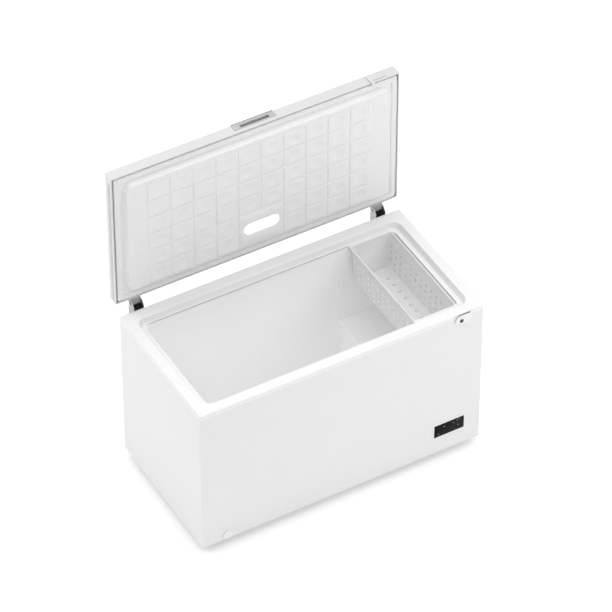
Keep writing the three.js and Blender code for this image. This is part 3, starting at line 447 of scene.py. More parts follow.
def tub_liner():
    """The inner tub: one thin wall that follows the space, the bay step and the flange under the ledge."""
    wall = 1.5
    inside = make("inside", tub_solid(0, 790), None)
    block = box(STEP_X, 640, -330, 330, 60, STEP_TOP, 9)
    carve(inside, block)
    # a moulded line runs down the back and front walls over the step's corner
    for y in (TUB[2] - 0.5, TUB[3] + 0.5):
        carve(inside, tube([(STEP_X - 9, y, STEP_TOP - 220), (STEP_X - 9, y, 800)], 2.6, 12))
    # the tub moulding takes the faintly glowing plastic, painted light on its inside
    outside = make("tub_moulding", tub_solid(wall, 747.7), TUB_PLASTIC_PAINTED_GLOW)
    carve(outside, box(STEP_X + wall, 700, -400, 400, 0, STEP_TOP - wall, 8))
    flange = loft([level(grown(TUB, 0.5), 746.2, 10), level(grown(TUB, 16), 746.2, 10),
                   level(grown(TUB, 16), 747.7, 10), level(grown(TUB, 0.5), 747.7, 10)], loop=True)
    carve(outside, flange, "UNION")
    combine(outside, inside, "DIFFERENCE")
    carve(outside, disc(DRAIN_X, DRAIN_Y, [(12, 100), (12, 122)], "z", 24))
    show(outside, "cabinet", "tub_liner", slot="tub_plastic", angle=25)


def cabinet_foam():
    """The cabinet's foam, its edge over the step cut back so that the liner's rounded edge covers it."""
    source = nodes["cabinet_foam"]
    made = bpy.data.objects.new("cabinet_foam_fill", source.data.copy())
    bpy.context.scene.collection.objects.link(made)
    made.data.materials.clear()
    made.data.materials.append(FOAM)
    edge = [(STEP_X - 0.2, STEP_TOP - 9.8), (STEP_X + 9.8, STEP_TOP + 0.2), (STEP_X - 0.2, STEP_TOP + 0.2)]
    carve(made, prism(edge, CASE_FRONT + 5, CASE_BACK - 5))
    show(made, "cabinet", "cabinet_foam", slot="insulating_foam")


def drain():
    """The cap on the front and the plug in the tub's floor."""
    face = CASE_FRONT - 0.3
    cap = disc(DRAIN_X, DRAIN_Z, [(9.4, face + 18), (9.4, face), (21.4, face), (21.4, face - 3.4),
                                  (20.6, face - 4.4), (19, face - 5), (15.5, face - 5), (14.6, face - 4),
                                  (0.5, face - 4)], sides=48)
    shape = make("drain_cap_turned", cap, WHITE_PLASTIC)
    grip = soft_prism((DRAIN_X - 10, DRAIN_X + 10, DRAIN_Z - 1.6, DRAIN_Z + 1.6, 1.5), face - 3.5, face - 5, 0.6)
    carve(shape, grip, "UNION")
    show(shape, "drain_cap", "drain_cap", slot="white_plastic")
    z = TUB_FLOOR + 0.3
    plug = disc(DRAIN_X, DRAIN_Y, [(9.4, z - 10), (9.4, z), (17.6, z), (17.9, z + 1), (17.4, z + 3),
                                   (15.5, z + 3.7), (0.5, z + 3.7)], "z", 40)
    shape = make("drain_plug_moulded", plug, RUBBER)
    tab = soft_prism((DRAIN_X - 10, DRAIN_X + 10, DRAIN_Y - 2, DRAIN_Y + 2, 1.8), z + 2, z + 15.5, 1.4, "z")
    carve(shape, tab, "UNION")
    carve(shape, disc(DRAIN_X, z + 10, [(3.4, DRAIN_Y - 5), (3.4, DRAIN_Y + 5)], "y", 20))
    show(shape, "drain_plug", "drain_plug", slot="rubber")


def side_vent():
    face = soft_prism((-74, 156, 88, 232, 7), CASE_X + 0.1, CASE_X + 1.9, 1.2, "x")
    shape = make("side_vent_moulded", face, WHITE_PLASTIC)
    slots = [soft_prism((-58 + 22 * i, -48 + 22 * i, 104, 216, 4.9), 640, 655, 0.01, "x") for i in range(10)]
    carve(shape, together(*slots))
    show(shape, "cabinet", "side_vent_grille", slot="white_plastic", bevel=0.4)


def rear_cover():
    face = soft_prism((390, 636, 66, 286, 6), CASE_BACK + 0.1, CASE_BACK + 1.5, 0.5)
    shape = make("rear_cover_pressed", face, GREY_PLASTIC)
    slots = [soft_prism((424, 602, 92 + 18 * i, 100 + 18 * i, 3.9), 320, 340, 0.01) for i in range(10)]
    carve(shape, together(*slots))
    head = [(3.5, CASE_BACK + 0.5), (3.5, CASE_BACK + 1.8), (2.4, CASE_BACK + 2.4), (0.3, CASE_BACK + 2.5)]
    heads = [disc(x, z, head, sides=16) for x in (398, 628) for z in (74, 278)]
    carve(shape, together(*heads), "UNION")
    show(shape, "cabinet", "rear_cover", slot="grey_plastic", bevel=0.3)


# ------------------------------------------------------------------ control panel
def control_panel():
    """The display: a bezel set in the front, a black window and plain marks without any lettering."""
    face = CASE_FRONT - 0.3
    half_w, half_h = 71, 33.5

    def round_panel(dx, dz, corner):
        return (PANEL_X - dx, PANEL_X + dx, PANEL_Z - dz, PANEL_Z + dz, corner)
    bezel = soft_prism(round_panel(76, 38.5, 6), face, face - 1.4, 1.1)
    shape = make("panel_bezel_moulded", bezel, WHITE_PLASTIC)
    carve(shape, soft_prism(round_panel(73, 35.5, 2.5), CASE_FRONT + 24, face - 0.2, 0.01), "UNION")
    carve(shape, soft_prism(round_panel(half_w, half_h, 1.5), CASE_FRONT + 22.5, face - 4, 0.01))
    show(shape, "cabinet", "panel_bezel", slot="white_plastic", bevel=0.3)
    glass = soft_prism(round_panel(half_w - 0.3, half_h - 0.3, 1.4), CASE_FRONT + 1.6, CASE_FRONT - 0.9, 0.4)
    show(make("panel_window_glass", glass, BLACK_GLOSS), "cabinet", "panel_window", slot="black_gloss")
    marks = []
    lit = CASE_FRONT - 0.95

    def dash(u, v, w, h):
        rect = (PANEL_X + u - w, PANEL_X + u + w, PANEL_Z + v - h, PANEL_Z + v + h, min(w, h) * 0.9)
        marks.append(soft_prism(rect, lit + 0.3, lit - 0.15, 0.05, "y", 4))
    for place in ((-49, -19, 2.6, 2.6), (-24, 13, 4.6, 2), (20, 14, 2.6, 2.2), (37, 20, 3.2, 1.6),
                  (47, 21, 3.4, 2), (43, -7, 3.4, 2)):
        dash(*place)
    show(make("panel_marks", together(*marks), MARK_GREY), "cabinet", slot="grey_plastic")


# ------------------------------------------------------------------ lock
def lock():
    """The moulded boss with its slot, the key cylinder and the cam behind it."""
    def outline(inset):
        left, right = LOCK_PLATE[0] + inset, LOCK_PLATE[1] - inset
        low, high = LOCK_PLATE[2] + inset, LOCK_PLATE[3] - inset
        return eased([(right, high, 3), (left, high, 24.2 - inset), (left, low, 24.2 - inset),
                      (right, low, 22 - inset)], 8, True)
    stages = ((2.6, LOCK_FACE), (1.1, LOCK_FACE + 0.6), (0.3, LOCK_FACE + 1.6), (0, LOCK_FACE + 3), (0, LOCK_BACK))
    rings = [[(u, w, v) for u, v in outline(inset)] for inset, w in stages]
    shape = make("lock_boss", loft(rings), WHITE_PLASTIC)
    skirt = soft_prism((514, 588, 724, 756.6, 15), -330.3, -333, 0.01, steps=10)
    carve(shape, skirt, "UNION")
    carve(shape, prism(outline(2), LOCK_FACE + 2, -325))
    carve(shape, box(516.4, 583, LOCK_FACE + 2, -332.2, 757, 790))
    carve(shape, disc(LOCK_X, LOCK_Z, [(9.4, -350), (9.4, -330)], sides=40))
    show(shape, "cabinet", "lock_housing", slot="white_plastic")
    # a black plate inside the slot, beside the way of the catch's tongue: painted shade, a dark sheet standing in
    # for the shadow in the slot's gap
    slot_shade = box(532.5, 582, LOCK_FACE + 2.1, -332.3, 768, 771.4)
    show(make("lock_slot_painted_shade", slot_shade, DARK_PLASTIC), "cabinet", slot="black_gloss")
    barrel = disc(LOCK_X, LOCK_Z, [(8.8, -336.9), (8.8, -340.4), (8.2, -341), (0.4, -341)], sides=40)
    shape = make("lock_barrel_turned", barrel, LOCK_STEEL)
    carve(shape, soft_prism((LOCK_X - 1.6, LOCK_X + 1.6, LOCK_Z - 6, LOCK_Z + 6, 1), -345, -338, 0.01, "y", 3))
    carve(shape, box(LOCK_X - 2, LOCK_X + 2, -337.2, -333.4, LOCK_Z - 2, LOCK_Z + 2), "UNION")
    show(shape, "lock", "lock_barrel", slot="bright_steel", bevel=0.15)
    keep("lock_cam", BRIGHT_STEEL, 0.3)


def lock_catch():
    """The pad on the lid's front edge, with the tongue that drops into the lock's slot."""
    front = -335.9
    pad = soft_prism((518, 591, 792, 826, 3), -329.7, front, 1.4, steps=5)
    shape = make("lock_catch_moulded", pad, LID_PAINT, swung)
    carve(shape, box(518.5, 530.5, front, front + 2.5, 746.4, 794, 0.9), "UNION", swung)
    carve(shape, box(523, 540, -345, -325, 751, 768), at=swung)
    show(shape, "lid", "lock_catch", slot="white_plastic")


# ------------------------------------------------------------------ lid
def side_recess(y, z):
    """How far the lid's side walls are drawn in at a place: a shallow finger groove along each side."""
    def rise(v, low, high):
        t = min(1, max(0, (v - low) / (high - low)))
        return t * t * (3 - 2 * t)
    along = rise(y, -292, -284) * rise(-y, -326, -320)
    across = rise(z, 792, 795) * rise(-z, -815, -812)
    return 7 * along * across


def lid_ring(rect, z):
    """A level ring round the lid, with extra points along its sides for the groove."""
    corner = rounded(rect, 8)
    n = len(corner)
    ring = []
    for i, (x, y) in enumerate(corner):
        ring.append((x, y))
        nx, ny = corner[(i + 1) % n]
        if abs(ny - y) > 100:
            for k in range(1, 41):
                ring.append((x + (nx - x) * k / 41, y + (ny - y) * k / 41))
    out = []
    for x, y in ring:
        pull = side_recess(y, z) if abs(x) > rect[1] - 0.5 else 0
        out.append((x - math.copysign(pull, x), y, z))
    return out


def lid_skin():
    """The pressed outer skin of the lid, with its side grooves, its hem and the handle's opening."""
    profile = eased([(-5, 784, 0), (0, 784, 1.2), (0, 791, 0), (0, 793, 0), (0, 796, 0), (0, 804, 0), (0, 811, 0),
                     (0, 814, 0), (0, 816, 0), (0, 836, 5), (-20, 836, 0)], 6)
    rings = [lid_ring(grown(LID, d), z) for d, z in profile]
    inner = [(-22, 834.8), (-6.2, 834.8), (-1.2, 829.6), (-1.2, 816), (-1.2, 814), (-1.2, 811), (-1.2, 804),
             (-1.2, 796), (-1.2, 793), (-1.2, 791.5), (-5, 791), (-5, 786)]
    under = [lid_ring(grown(LID, d), z) for d, z in inner]
    n = len(rings[0])
    # the top is closed on both sides and the two skins meet at the hem
    points = [p for ring in rings + under for p in ring]
    faces = []
    top, below = len(rings) - 1, len(rings)
    chain = list(range(below, below + len(under)))
    for a, b in list(zip(range(top), range(1, top + 1))) + list(zip(chain, chain[1:])) + [(chain[-1], 0)]:
        for i in range(n):
            j = (i + 1) % n
            faces.append((a * n + i, a * n + j, b * n + j, b * n + i))
    faces.append(tuple(range(top * n, top * n + n)))
    faces.append(tuple(reversed(range(below * n, below * n + n))))
    shape = make("lid_skin_pressed", (points, faces), LID_PAINT, swung)
    carve(shape, box(2 - 93, 2 + 93, -340, -325, 801, 827), at=swung)
    show(shape, "lid", "lid_skin", slot="white_paint", angle=28)


def cell_outline(x0, x1, y0, y1, count):
    """Points round a cell's edge, with the same number on each side."""
    sides = (((x0, y0), (x1, y0)), ((x1, y0), (x1, y1)), ((x1, y1), (x0, y1)), ((x0, y1), (x0, y0)))
    return [(ax + (bx - ax) * k / count, ay + (by - ay) * k / count)
            for (ax, ay), (bx, by) in sides for k in range(count)]


def drawn_in(edge, x0, x1, y0, y1, by, deep):
    """A cell's edge drawn in towards its middle, at a depth behind the panel's face."""
    cx, cy = (x0 + x1) / 2, (y0 + y1) / 2
    fx, fy = 1 - 2 * by / (x1 - x0), 1 - 2 * by / (y1 - y0)
    return [(cx + (x - cx) * fx, cy + (y - cy) * fy, PLUG_Z + deep) for x, y in edge]


def cell_rings(x0, x1, y0, y1):
    """A cell of the lid's panel from its groove inwards to its dimple, each ring with its own depth."""
    cx, cy = (x0 + x1) / 2, (y0 + y1) / 2
    edge = cell_outline(x0, x1, y0, y1, 6)
    groove, depth = CELL_GROOVE_HALF, CELL_GROOVE_DEPTH
    rings = [drawn_in(edge, x0, x1, y0, y1, by, deep) for by, deep in
             ((0, depth), (groove, depth), (groove + 0.8, depth * 0.4), (groove + 2.4, 0), (9, 0))]
    for radius, deep in DIMPLE:
        ring = []
        for x, y in edge:
            a = math.atan2((y - cy) / (y1 - y0), (x - cx) / (x1 - x0))
            ring.append((cx + radius * math.cos(a), cy + radius * 0.98 * math.sin(a), PLUG_Z + deep))
        rings.append(ring)
    return rings


def add_cell(mesh, rings, capped=True):
    """Adds a skin over rings of points to a mesh, and returns its vertices ring by ring."""
    grid = [[mesh.verts.new(p) for p in ring] for ring in rings]
    n = len(grid[0])
    for a, b in zip(grid, grid[1:]):
        for i in range(n):
            j = (i + 1) % n
            mesh.faces.new((a[i], a[j], b[j], b[i]))
    if capped:
        mesh.faces.new(grid[-1])
    return grid


def lid_inner_panel():
    """The lid's moulded inner face: the grid of cells, the lamp's field, the plug, the flange and its groove."""
    mesh = bmesh.new()
    pitch_x = (GRID_X[1] - GRID_X[0]) / GRID_COLUMNS
    pitch_y = (GRID_Y[1] - GRID_Y[0]) / GRID_ROWS
    lamp_columns, lamp_rows = (4, 5), (GRID_ROWS - 2, GRID_ROWS - 1)
    for column in range(GRID_COLUMNS):
        for row in range(GRID_ROWS):
            if column in lamp_columns and row in lamp_rows:
                continue
            x0, y0 = GRID_X[0] + pitch_x * column, GRID_Y[0] + pitch_y * row
            add_cell(mesh, cell_rings(x0, x0 + pitch_x, y0, y0 + pitch_y))
    # the lamp's plain field takes four cells
    x0, y0 = GRID_X[0] + pitch_x * lamp_columns[0], GRID_Y[0] + pitch_y * lamp_rows[0]
    x1, y1 = x0 + 2 * pitch_x, y0 + 2 * pitch_y
    edge = cell_outline(x0, x1, y0, y1, 12)
    groove, depth = CELL_GROOVE_HALF, CELL_GROOVE_DEPTH
    rings = [drawn_in(edge, x0, x1, y0, y1, by, deep) for by, deep in
             ((0, depth), (groove, depth), (groove + 0.8, depth * 0.4), (groove + 2.4, 0))]
    field = add_cell(mesh, rings, capped=False)
    lamp = (LAMP_X - LAMP_HALF, LAMP_X + LAMP_HALF, LAMP_Y - LAMP_HEIGHT, LAMP_Y + LAMP_HEIGHT, LAMP_HEIGHT - 1)
    slot_rings = [level(grown(lamp, by), PLUG_Z + deep, 8) for by, deep in
                  ((6, 0), (4.5, 0.6), (0.8, 1.0), (0.3, 4.0))]
    slot = add_cell(mesh, slot_rings, capped=False)

    def loop_edges(ring):
        pairs = zip(ring, ring[1:] + ring[:1])
        return [mesh.edges.get(pair) or mesh.edges.new(pair) for pair in pairs]
    bmesh.ops.triangle_fill(mesh, use_beauty=True, edges=loop_edges(field[-1]) + loop_edges(slot[0]))
    bmesh.ops.remove_doubles(mesh, verts=mesh.verts, dist=0.01)

    # the rest of the plate, the plug's sloping wall, the flange and the groove's floor
    nose, fillet = 2.8, 7
    wall = [level(grown(PLUG_FACE, -nose), PLUG_Z, 10)]
    for t in range(7):
        a = math.pi / 2 * t / 6
        wall.append(level(grown(PLUG_FACE, nose * math.sin(a) - nose), PLUG_Z + nose * (1 - math.cos(a)), 10))
    for t in range(1, 7):
        a = math.pi / 2 * t / 6
        wall.append(level(grown(PLUG_BASE, fillet * (1 - math.cos(a))),
                          LID_BOTTOM + 0.4 - fillet + fillet * math.sin(a), 10))
    gasket_edge = (-641, 641, -319, 321, 8)
    wall += [level(grown(gasket_edge, -1), LID_BOTTOM + 0.4, 10), level(gasket_edge, LID_BOTTOM + 1.4, 10),
             level(grown(gasket_edge, 0.2), GROOVE_FLOOR, 10), level(GROOVE_RECT, GROOVE_FLOOR + 0.2, 10)]
    outer = add_cell(mesh, wall, capped=False)
    # upper side, hidden in the foam
    back = [level(GROOVE_RECT, GROOVE_FLOOR + 2, 10), level(grown(gasket_edge, -1.8), GROOVE_FLOOR + 2, 10),
            level(grown(gasket_edge, -2.2), LID_BOTTOM + 2.4, 10),
            level(grown(PLUG_BASE, -2.2), LID_BOTTOM + 2.2, 10), level(grown(PLUG_FACE, -2.6), PLUG_Z + 5.5, 10)]
    hidden = add_cell(mesh, back, capped=False)
    for i in range(len(outer[-1])):
        j = (i + 1) % len(outer[-1])
        mesh.faces.new((outer[-1][i], outer[-1][j], hidden[0][j], hidden[0][i]))
    top_slot = [mesh.verts.new((v.co.x, v.co.y, PLUG_Z + 5.5)) for v in slot[-1] if v.is_valid]
    for i in range(len(top_slot)):
        j = (i + 1) % len(top_slot)
        mesh.faces.new((slot[-1][i], slot[-1][j], top_slot[j], top_slot[i]))
    bmesh.ops.triangle_fill(mesh, use_beauty=True, edges=loop_edges(hidden[-1]) + loop_edges(top_slot))
    border = [e for e in mesh.edges if e.is_boundary]
    bmesh.ops.triangle_fill(mesh, use_beauty=True, edges=border)
    bmesh.ops.recalc_face_normals(mesh, faces=mesh.faces)
    for vertex in mesh.verts:
        vertex.co = swung(vertex.co)
    bmesh.ops.recalc_face_normals(mesh, faces=mesh.faces)
    data = bpy.data.meshes.new("lid_inner_moulding")
    mesh.to_mesh(data)
    mesh.free()
    shape = bpy.data.objects.new("lid_inner_moulding", data)
    bpy.context.scene.collection.objects.link(shape)
    data.materials.append(PANEL_PLASTIC)
    show(shape, "lid", "lid_inner_panel", slot="tub_plastic", angle=40)


def lid_foam():
    """Foam between the lid's skin and its inner panel, clear of the dimples and the side grooves."""
    neck = (-637.8, 637.8, -315.8, 317.8, 17)
    rings = [level(grown(PLUG_FACE, -8), PLUG_Z + 6, 8), level(grown(PLUG_FACE, -4), PLUG_Z + 7, 8),
             level(grown(PLUG_BASE, -3), LID_BOTTOM + 3, 8), level(neck, LID_BOTTOM + 3.2, 8),
             level(neck, GROOVE_FLOOR + 2.3, 8), level(GROOVE_RECT, GROOVE_FLOOR + 2.5, 8),
             level(GROOVE_RECT, LID_TOP - 7, 8), level(grown(GROOVE_RECT, -5), LID_TOP - 1.6, 8)]
    shape = make("lid_foam_fill", loft(rings), FOAM, swung)
    carve(shape, box(2 - 96, 2 + 96, -340, -293, 798, 830), at=swung)
    show(shape, "lid", "lid_foam", slot="insulating_foam")


def lid_gasket():
    """The soft ribbed seal on the lid's flange."""
    middle = (-628, 628, -306, 308, 17)
    profile = eased([(-12.5, 784, 0.4), (-12.5, 781.6, 1), (-8, 780.6, 1), (-7, 779.5, 0.8), (4.5, 779.5, 1),
                     (6, 781.8, 0.8), (8.5, 781.8, 0.8), (9.5, 780.2, 0.8), (12.5, 781.2, 0.8),
                     (12.5, 784, 0.4)], 3, True)
    shape = make("lid_gasket_moulded", loft(sweep(middle, profile, 8), loop=True), GASKET_VINYL, swung)
    show(shape, "lid", "lid_gasket", slot="gasket_vinyl")


def lid_handle():
    """The grey grip let into the lid's front edge, with a hollow for the fingers and a dark upper strip."""
    x, half = 2, 95
    plate = soft_prism((x - half, x + half, 799, 834, 4), -329.75, -331.9, 1.4)
    shape = make("lid_handle_moulded", plate, SILVER_PLASTIC, swung)
    body = soft_prism((x - half + 2.5, x + half - 2.5, 801.5, 826.5, 3), -293.7, -330.5, 0.01)
    carve(shape, body, "UNION", swung)
    pocket = loft([[(u, -333, v) for u, v in rounded((x - 65, x + 69, 803.5, 820.5, 4), 6)],
                   [(u, -330.5, v) for u, v in rounded((x - 64, x + 68, 804.5, 819.5, 4), 6)],
                   [(u, -304, v) for u, v in rounded((x - 63, x + 67, 805, 824, 4), 6)],
                   [(u, -301.5, v) for u, v in rounded((x - 60, x + 64, 808, 821, 3), 6)]])
    carve(shape, pocket, at=swung)
    show(shape, "lid", "lid_handle", slot="silver_plastic")
    strip = soft_prism((x - half, x + half, 834.05, 835.9, 0.6), -329.75, -331.9, 0.4)
    show(make("lid_handle_edge", strip, DARK_PLASTIC, swung), "lid", slot="silver_plastic")


def lid_lamp():
    """The oval diffuser of the lid's lamp."""
    lamp = (LAMP_X - LAMP_HALF, LAMP_X + LAMP_HALF, LAMP_Y - LAMP_HEIGHT, LAMP_Y + LAMP_HEIGHT, LAMP_HEIGHT - 1)
    rect = grown(lamp, -1)
    rings = [level(grown(rect, 3), 764, 10), level(grown(rect, 3), 762.4, 10), level(rect, 762.3, 10),
             level(rect, 761.2, 10), level(grown(rect, -0.6), 760.6, 10), level(grown(rect, -2), 760.3, 10)]
    shape = make("lid_lamp_diffuser", loft(rings), LENS, swung)
    show(shape, "lid", "lid_lamp_lens", slot="lens")


# ------------------------------------------------------------------ hinges
def hinge(side):
    """One hinge: a folded channel on the cabinet, a folded arm on the lid, the pin and the coil spring."""
    x = HINGES[side]
    cheek = eased([(332.3, 640, 0), (356, 640, 4), (378, 664, 6), (378, 796, 9), (366, 812, 6), (348, 812, 6),
                   (332.3, 792, 0)], 5, True)
    rails = [prism(cheek, x + a, x + b, "x") for a, b in ((-23, -21), (21, 23))]
    plate = box(x - 23, x + 23, 330.3, 333.4, 640, 756)
    shape = make("hinge_channel_" + side, plate, HINGE_STEEL)
    for rail in rails:
        carve(shape, rail, "UNION")
    carve(shape, box(x - 22, x + 22, 333, 370, 650, 652), "UNION")
    carve(shape, box(x - 22, x + 22, 377, 378, 650, 789), "UNION")
    screws = [disc(x + dx, z, [(4.6, 333), (4.6, 334.6), (3.4, 336), (0.4, 336.3)], sides=20)
              for dx in (-11, 11) for z in (668, 738)]
    carve(shape, together(*screws), "UNION")
    carve(shape, disc(PIVOT_Y, PIVOT_Z, [(4.1, x - 30), (4.1, x + 30)], "x", 24))
    show(shape, "cabinet", "hinge_bracket_" + side, slot="galvanised", bevel=0.3)

    arm = eased([(332.3, 833, 2), (332.3, 785, 0), (352, 782, 4), (372, 784, 4), (376, 793, 4), (372, 803, 4),
                 (352, 830, 5)], 4, True)
    shape = make("hinge_arm_folded_" + side, prism(arm, x - 20.4, x - 18.4, "x"), HINGE_ARM_STEEL, swung)
    carve(shape, prism(arm, x + 18.4, x + 20.4, "x"), "UNION", swung)
    carve(shape, box(x - 20, x + 20, 332.3, 334.3, 785, 833), "UNION", swung)
    carve(shape, box(x - 19, x + 19, 333, 368, 785.3, 788.4), "UNION", swung)
    ribs = [box(x - 16, x + 16, 333.8, 335.4, 798 + 7 * i, 801 + 7 * i, 0.5) for i in range(5)]
    carve(shape, together(*ribs), "UNION", swung)
    carve(shape, disc(PIVOT_Y, PIVOT_Z, [(4.3, x - 30), (4.3, x + 30)], "x", 24), at=swung)
    show(shape, "lid", "hinge_arm_" + side, slot="galvanised", bevel=0.3)

    pin = disc(PIVOT_Y, PIVOT_Z, [(5.4, x - 27), (6, x - 26.4), (6, x - 23.5), (4, x - 23.4), (4, x + 23.4),
                                  (6, x + 23.5), (6, x + 26.4), (5.4, x + 27)], "x", 28)
    show(make("hinge_pin_turned_" + side, pin, BRIGHT_STEEL), "cabinet", "hinge_pin_" + side,
         slot="bright_steel")
    turns, per_turn = 11, 20
    coil = []
    for i in range(turns * per_turn + 1):
        a = 2 * math.pi * i / per_turn
        t = i / (turns * per_turn)
        rise = min(1, max(0, (t - 0.08) / 0.84))
        coil.append((x + SPRING_RADIUS * math.cos(a), SPRING_Y + SPRING_RADIUS * math.sin(a),
                     SPRING_BOTTOM + 2.5 * t + SPRING_HEIGHT * rise))
    show(make("hinge_coil_" + side, tube(coil, 1.7, 8), SPRING_STEEL), "cabinet", "hinge_spring_" + side,
         slot="spring_steel")


# ------------------------------------------------------------------ basket
def basket():
    """The hanging basket: tapered walls, a lip on the long ends and holes in the walls and the floor."""
    left, right = BASKET_X
    top = (left + 3, right - 3, -257, 252, 12)
    low = (left + 16, right - 16, -246, 241, 12)
    wall = 2.4
    z0, z1 = BASKET_BOTTOM, BASKET_TOP

    def mix(t):
        return tuple(a + (b - a) * t for a, b in zip(low, top))
    lip = (left, right, -277, 267, 12)
    rings = [level(grown(low, -12), z0, 8), level(grown(low, -5), z0 + 0.6, 8),
             level(grown(low, -1.2), z0 + 3.4, 8), level(mix(0.06), z0 + 10, 8), level(mix(0.92), LEDGE_TOP, 8)]
    rings += [level(lip, 751.4, 8), level(grown(lip, -0.2), 753.6, 8), level(grown(lip, -2), 754.4, 8)]
    rings += [level(grown(top, 2.4), 754.6, 8), level(grown(top, 2.2), 755.9, 8), level(grown(top, 0.9), z1, 8),
              level(grown(top, -1.5), z1, 8), level(grown(top, -wall), z1 - 0.9, 8)]
    rings += [level(grown(mix(0.06), -wall), z0 + 10, 8), level(grown(low, -wall - 1.6), z0 + 5, 8),
              level(grown(low, -wall - 6), z0 + 2.6, 8), level(grown(low, -wall - 12), z0 + 2.4, 8)]
    shape = make("basket_moulded", loft(rings), BASKET_PLASTIC)
    holes = []
    for row in range(WALL_HOLE_ROWS):
        margin = 0 if row else 1
        for column in range(margin, WALL_HOLE_COLUMNS - margin):
            y = WALL_HOLE_START[0] + WALL_HOLE_PITCH[0] * column
            z = WALL_HOLE_START[1] + WALL_HOLE_PITCH[1] * row
            holes.append(soft_prism((y - 4.6, y + 4.6, z - 7, z + 7, 4.5), left - 20, right + 20, 0.01, "x", 3))
    for x in FLOOR_HOLE_COLUMNS:
        for i in range(FLOOR_HOLE_COUNT):
            y = FLOOR_HOLE_START + FLOOR_HOLE_PITCH * i
            holes.append(soft_prism((x - 9, x + 9, y - 5, y + 5, 4.8), z0 - 5, z0 + 6, 0.01, "z", 3))
    carve(shape, together(*holes))
    show(shape, "basket", "basket", slot="white_plastic")


# ------------------------------------------------------------------ castors
def castors():
    """Four small wheels, each on its own axle in a kept bracket."""
    for end, y in (("front", -240), ("rear", 240)):
        for side, x in (("left", -520), ("right", 520)):
            name = end + "_" + side
            low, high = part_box("castor_wheel_" + name)
            z = (low[2] + high[2]) / 2 / MM
            r = 17.6
            tread = [(4, y - 6.5), (11, y - 6.5), (12.5, y - 7.8), (16.6, y - 7.8), (r, y - 6.6), (r, y + 6.6),
                     (16.6, y + 7.8), (12.5, y + 7.8), (11, y + 6.5), (4, y + 6.5)]
            shape = make("castor_roller_" + name, disc(x, z, tread, "y", 40), GREY_PLASTIC)
            carve(shape, disc(x, z, [(3.4, y - 12), (3.4, y + 12)], "y", 20))
            show(shape, "wheel_" + name, "castor_wheel_" + name, slot="grey_plastic")
            keep("castor_bracket_" + name, GALVANISED, 0.4)
            pin = disc(x, z, [(4.2, y - 14.5), (5, y - 14), (5, y - 12.4), (3, y - 12.3), (3, y + 12.3),
                              (5, y + 12.4), (5, y + 14), (4.2, y + 14.5)], "y", 20)
            show(make("castor_rivet_" + name, pin, BRIGHT_STEEL), "cabinet", "castor_axle_" + name,
                 slot="bright_steel")


cabinet_shell()
rim_frame()
tub_liner()
cabinet_foam()
drain()
side_vent()
rear_cover()
control_panel()
lock()
lid_skin()
lid_inner_panel()
lid_gasket()
lid_foam()
lid_handle()
lid_lamp()
lock_catch()
for hinge_side in HINGES:
    hinge(hinge_side)
basket()
castors()
for node_name, node_finish, node_bevel in (
        ("back_panel", GALVANISED, 0.2), ("base_pan", GALVANISED, 0.3), ("base_rail_left", GALVANISED, 0.4),
        ("base_rail_right", GALVANISED, 0.4), ("bay_panel", GALVANISED, 0), ("compressor", BLACK_PAINT, 2.0),
        ("compressor_base", GALVANISED, 0.4), ("start_relay", GREY_PLASTIC, 1.5),
        ("power_box", GREY_PLASTIC, 2.0), ("filter_drier", COPPER, 0.6), ("evaporator_coil", COPPER, 0),
        ("condenser_coil", COPPER, 0), ("suction_line", COPPER, 0), ("discharge_line", COPPER, 0),
        ("temperature_sensor", WHITE_PLASTIC, 0.4), ("drain_tube", GREY_PLASTIC, 0),
        ("display_board", BOARD_GREEN, 0.2), ("lid_lamp_board", BOARD_GREEN, 0.2)):
    keep(node_name, node_finish, node_bevel)


# ------------------------------------------------------------------ floor, light and camera
def floor():
    """A plain pale floor, outside the part."""
    size = 9.0
    corners = [(-size, -size, 0), (size, -size, 0), (size, size, 0), (-size, size, 0)]
    mesh = bpy.data.meshes.new("studio_floor")
    mesh.from_pydata(corners, [], [(0, 1, 2, 3)])
    made = bpy.data.objects.new("studio_floor", mesh)
    bpy.context.scene.collection.objects.link(made)
    mesh.materials.append(finish("floor_white", (0.86, 0.86, 0.86), 0.8, grain=60, bump=0.01, mottle=0.004,
                                 spec=0.2, emission=0.3))


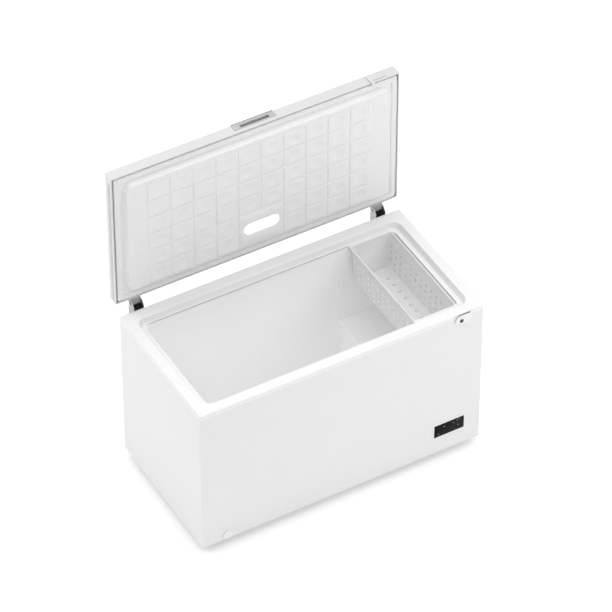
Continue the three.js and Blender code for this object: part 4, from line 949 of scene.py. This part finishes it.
def area_light(name, place, aim, size, power):
    """A soft rectangular light, turned towards a point."""
    data = bpy.data.lights.new(name, "AREA")
    data.shape = "RECTANGLE"
    data.size, data.size_y = size
    data.energy = power
    made = bpy.data.objects.new(name, data)
    made.location = place
    made.rotation_euler = (Vector(aim) - Vector(place)).to_track_quat("-Z", "Y").to_euler()
    bpy.context.scene.collection.objects.link(made)


def world():
    """A white dome, brightest overhead, that fills the open tub."""
    sky = bpy.data.worlds.new("studio")
    sky.use_nodes = True
    tree = sky.node_tree
    new, link = tree.nodes.new, tree.links.new
    back = tree.nodes["Background"]
    back.inputs["Strength"].default_value = 1.9
    way = new("ShaderNodeTexCoord")
    parts = new("ShaderNodeSeparateXYZ")
    ramp = new("ShaderNodeValToRGB")
    steps = ((0.0, 0.16), (0.5, 0.26), (0.8, 0.6), (1.0, 1.0))
    for place, _ in steps[1:3]:
        ramp.color_ramp.elements.new(place)
    for element, (place, grey) in zip(ramp.color_ramp.elements, steps):
        element.position = place
        element.color = (grey, grey, grey, 1)
    link(way.outputs["Generated"], parts.inputs["Vector"])
    link(parts.outputs["Z"], ramp.inputs["Fac"])
    link(ramp.outputs["Color"], back.inputs["Color"])
    bpy.context.scene.world = sky


def camera():
    """A long lens from the front left and above, aimed at the middle of the part."""
    azimuth, elevation = math.radians(-29.91), math.radians(42.98)
    distance = 17.22275
    target = Vector((0.01769, MID_Y, 0.79526))
    away = Vector((math.sin(azimuth) * math.cos(elevation), -math.cos(azimuth) * math.cos(elevation),
                   math.sin(elevation)))
    data = bpy.data.cameras.new("camera")
    data.sensor_width = 36
    data.lens = 253.742
    data.clip_end = 100
    made = bpy.data.objects.new("camera", data)
    made.location = target + away * distance
    made.rotation_euler = (-away).to_track_quat("-Z", "Y").to_euler()
    bpy.context.scene.collection.objects.link(made)
    bpy.context.scene.camera = made


floor()
world()
area_light("key", (1.8, -2.2, 2.6), (0.2, 0, 0.6), (1.6, 1.6), 18)
area_light("back_left", (-2.6, 1.8, 3.0), (0.3, 0, 0.8), (1.8, 1.8), 22)
camera()
bpy.context.scene.view_settings.view_transform = "Standard"
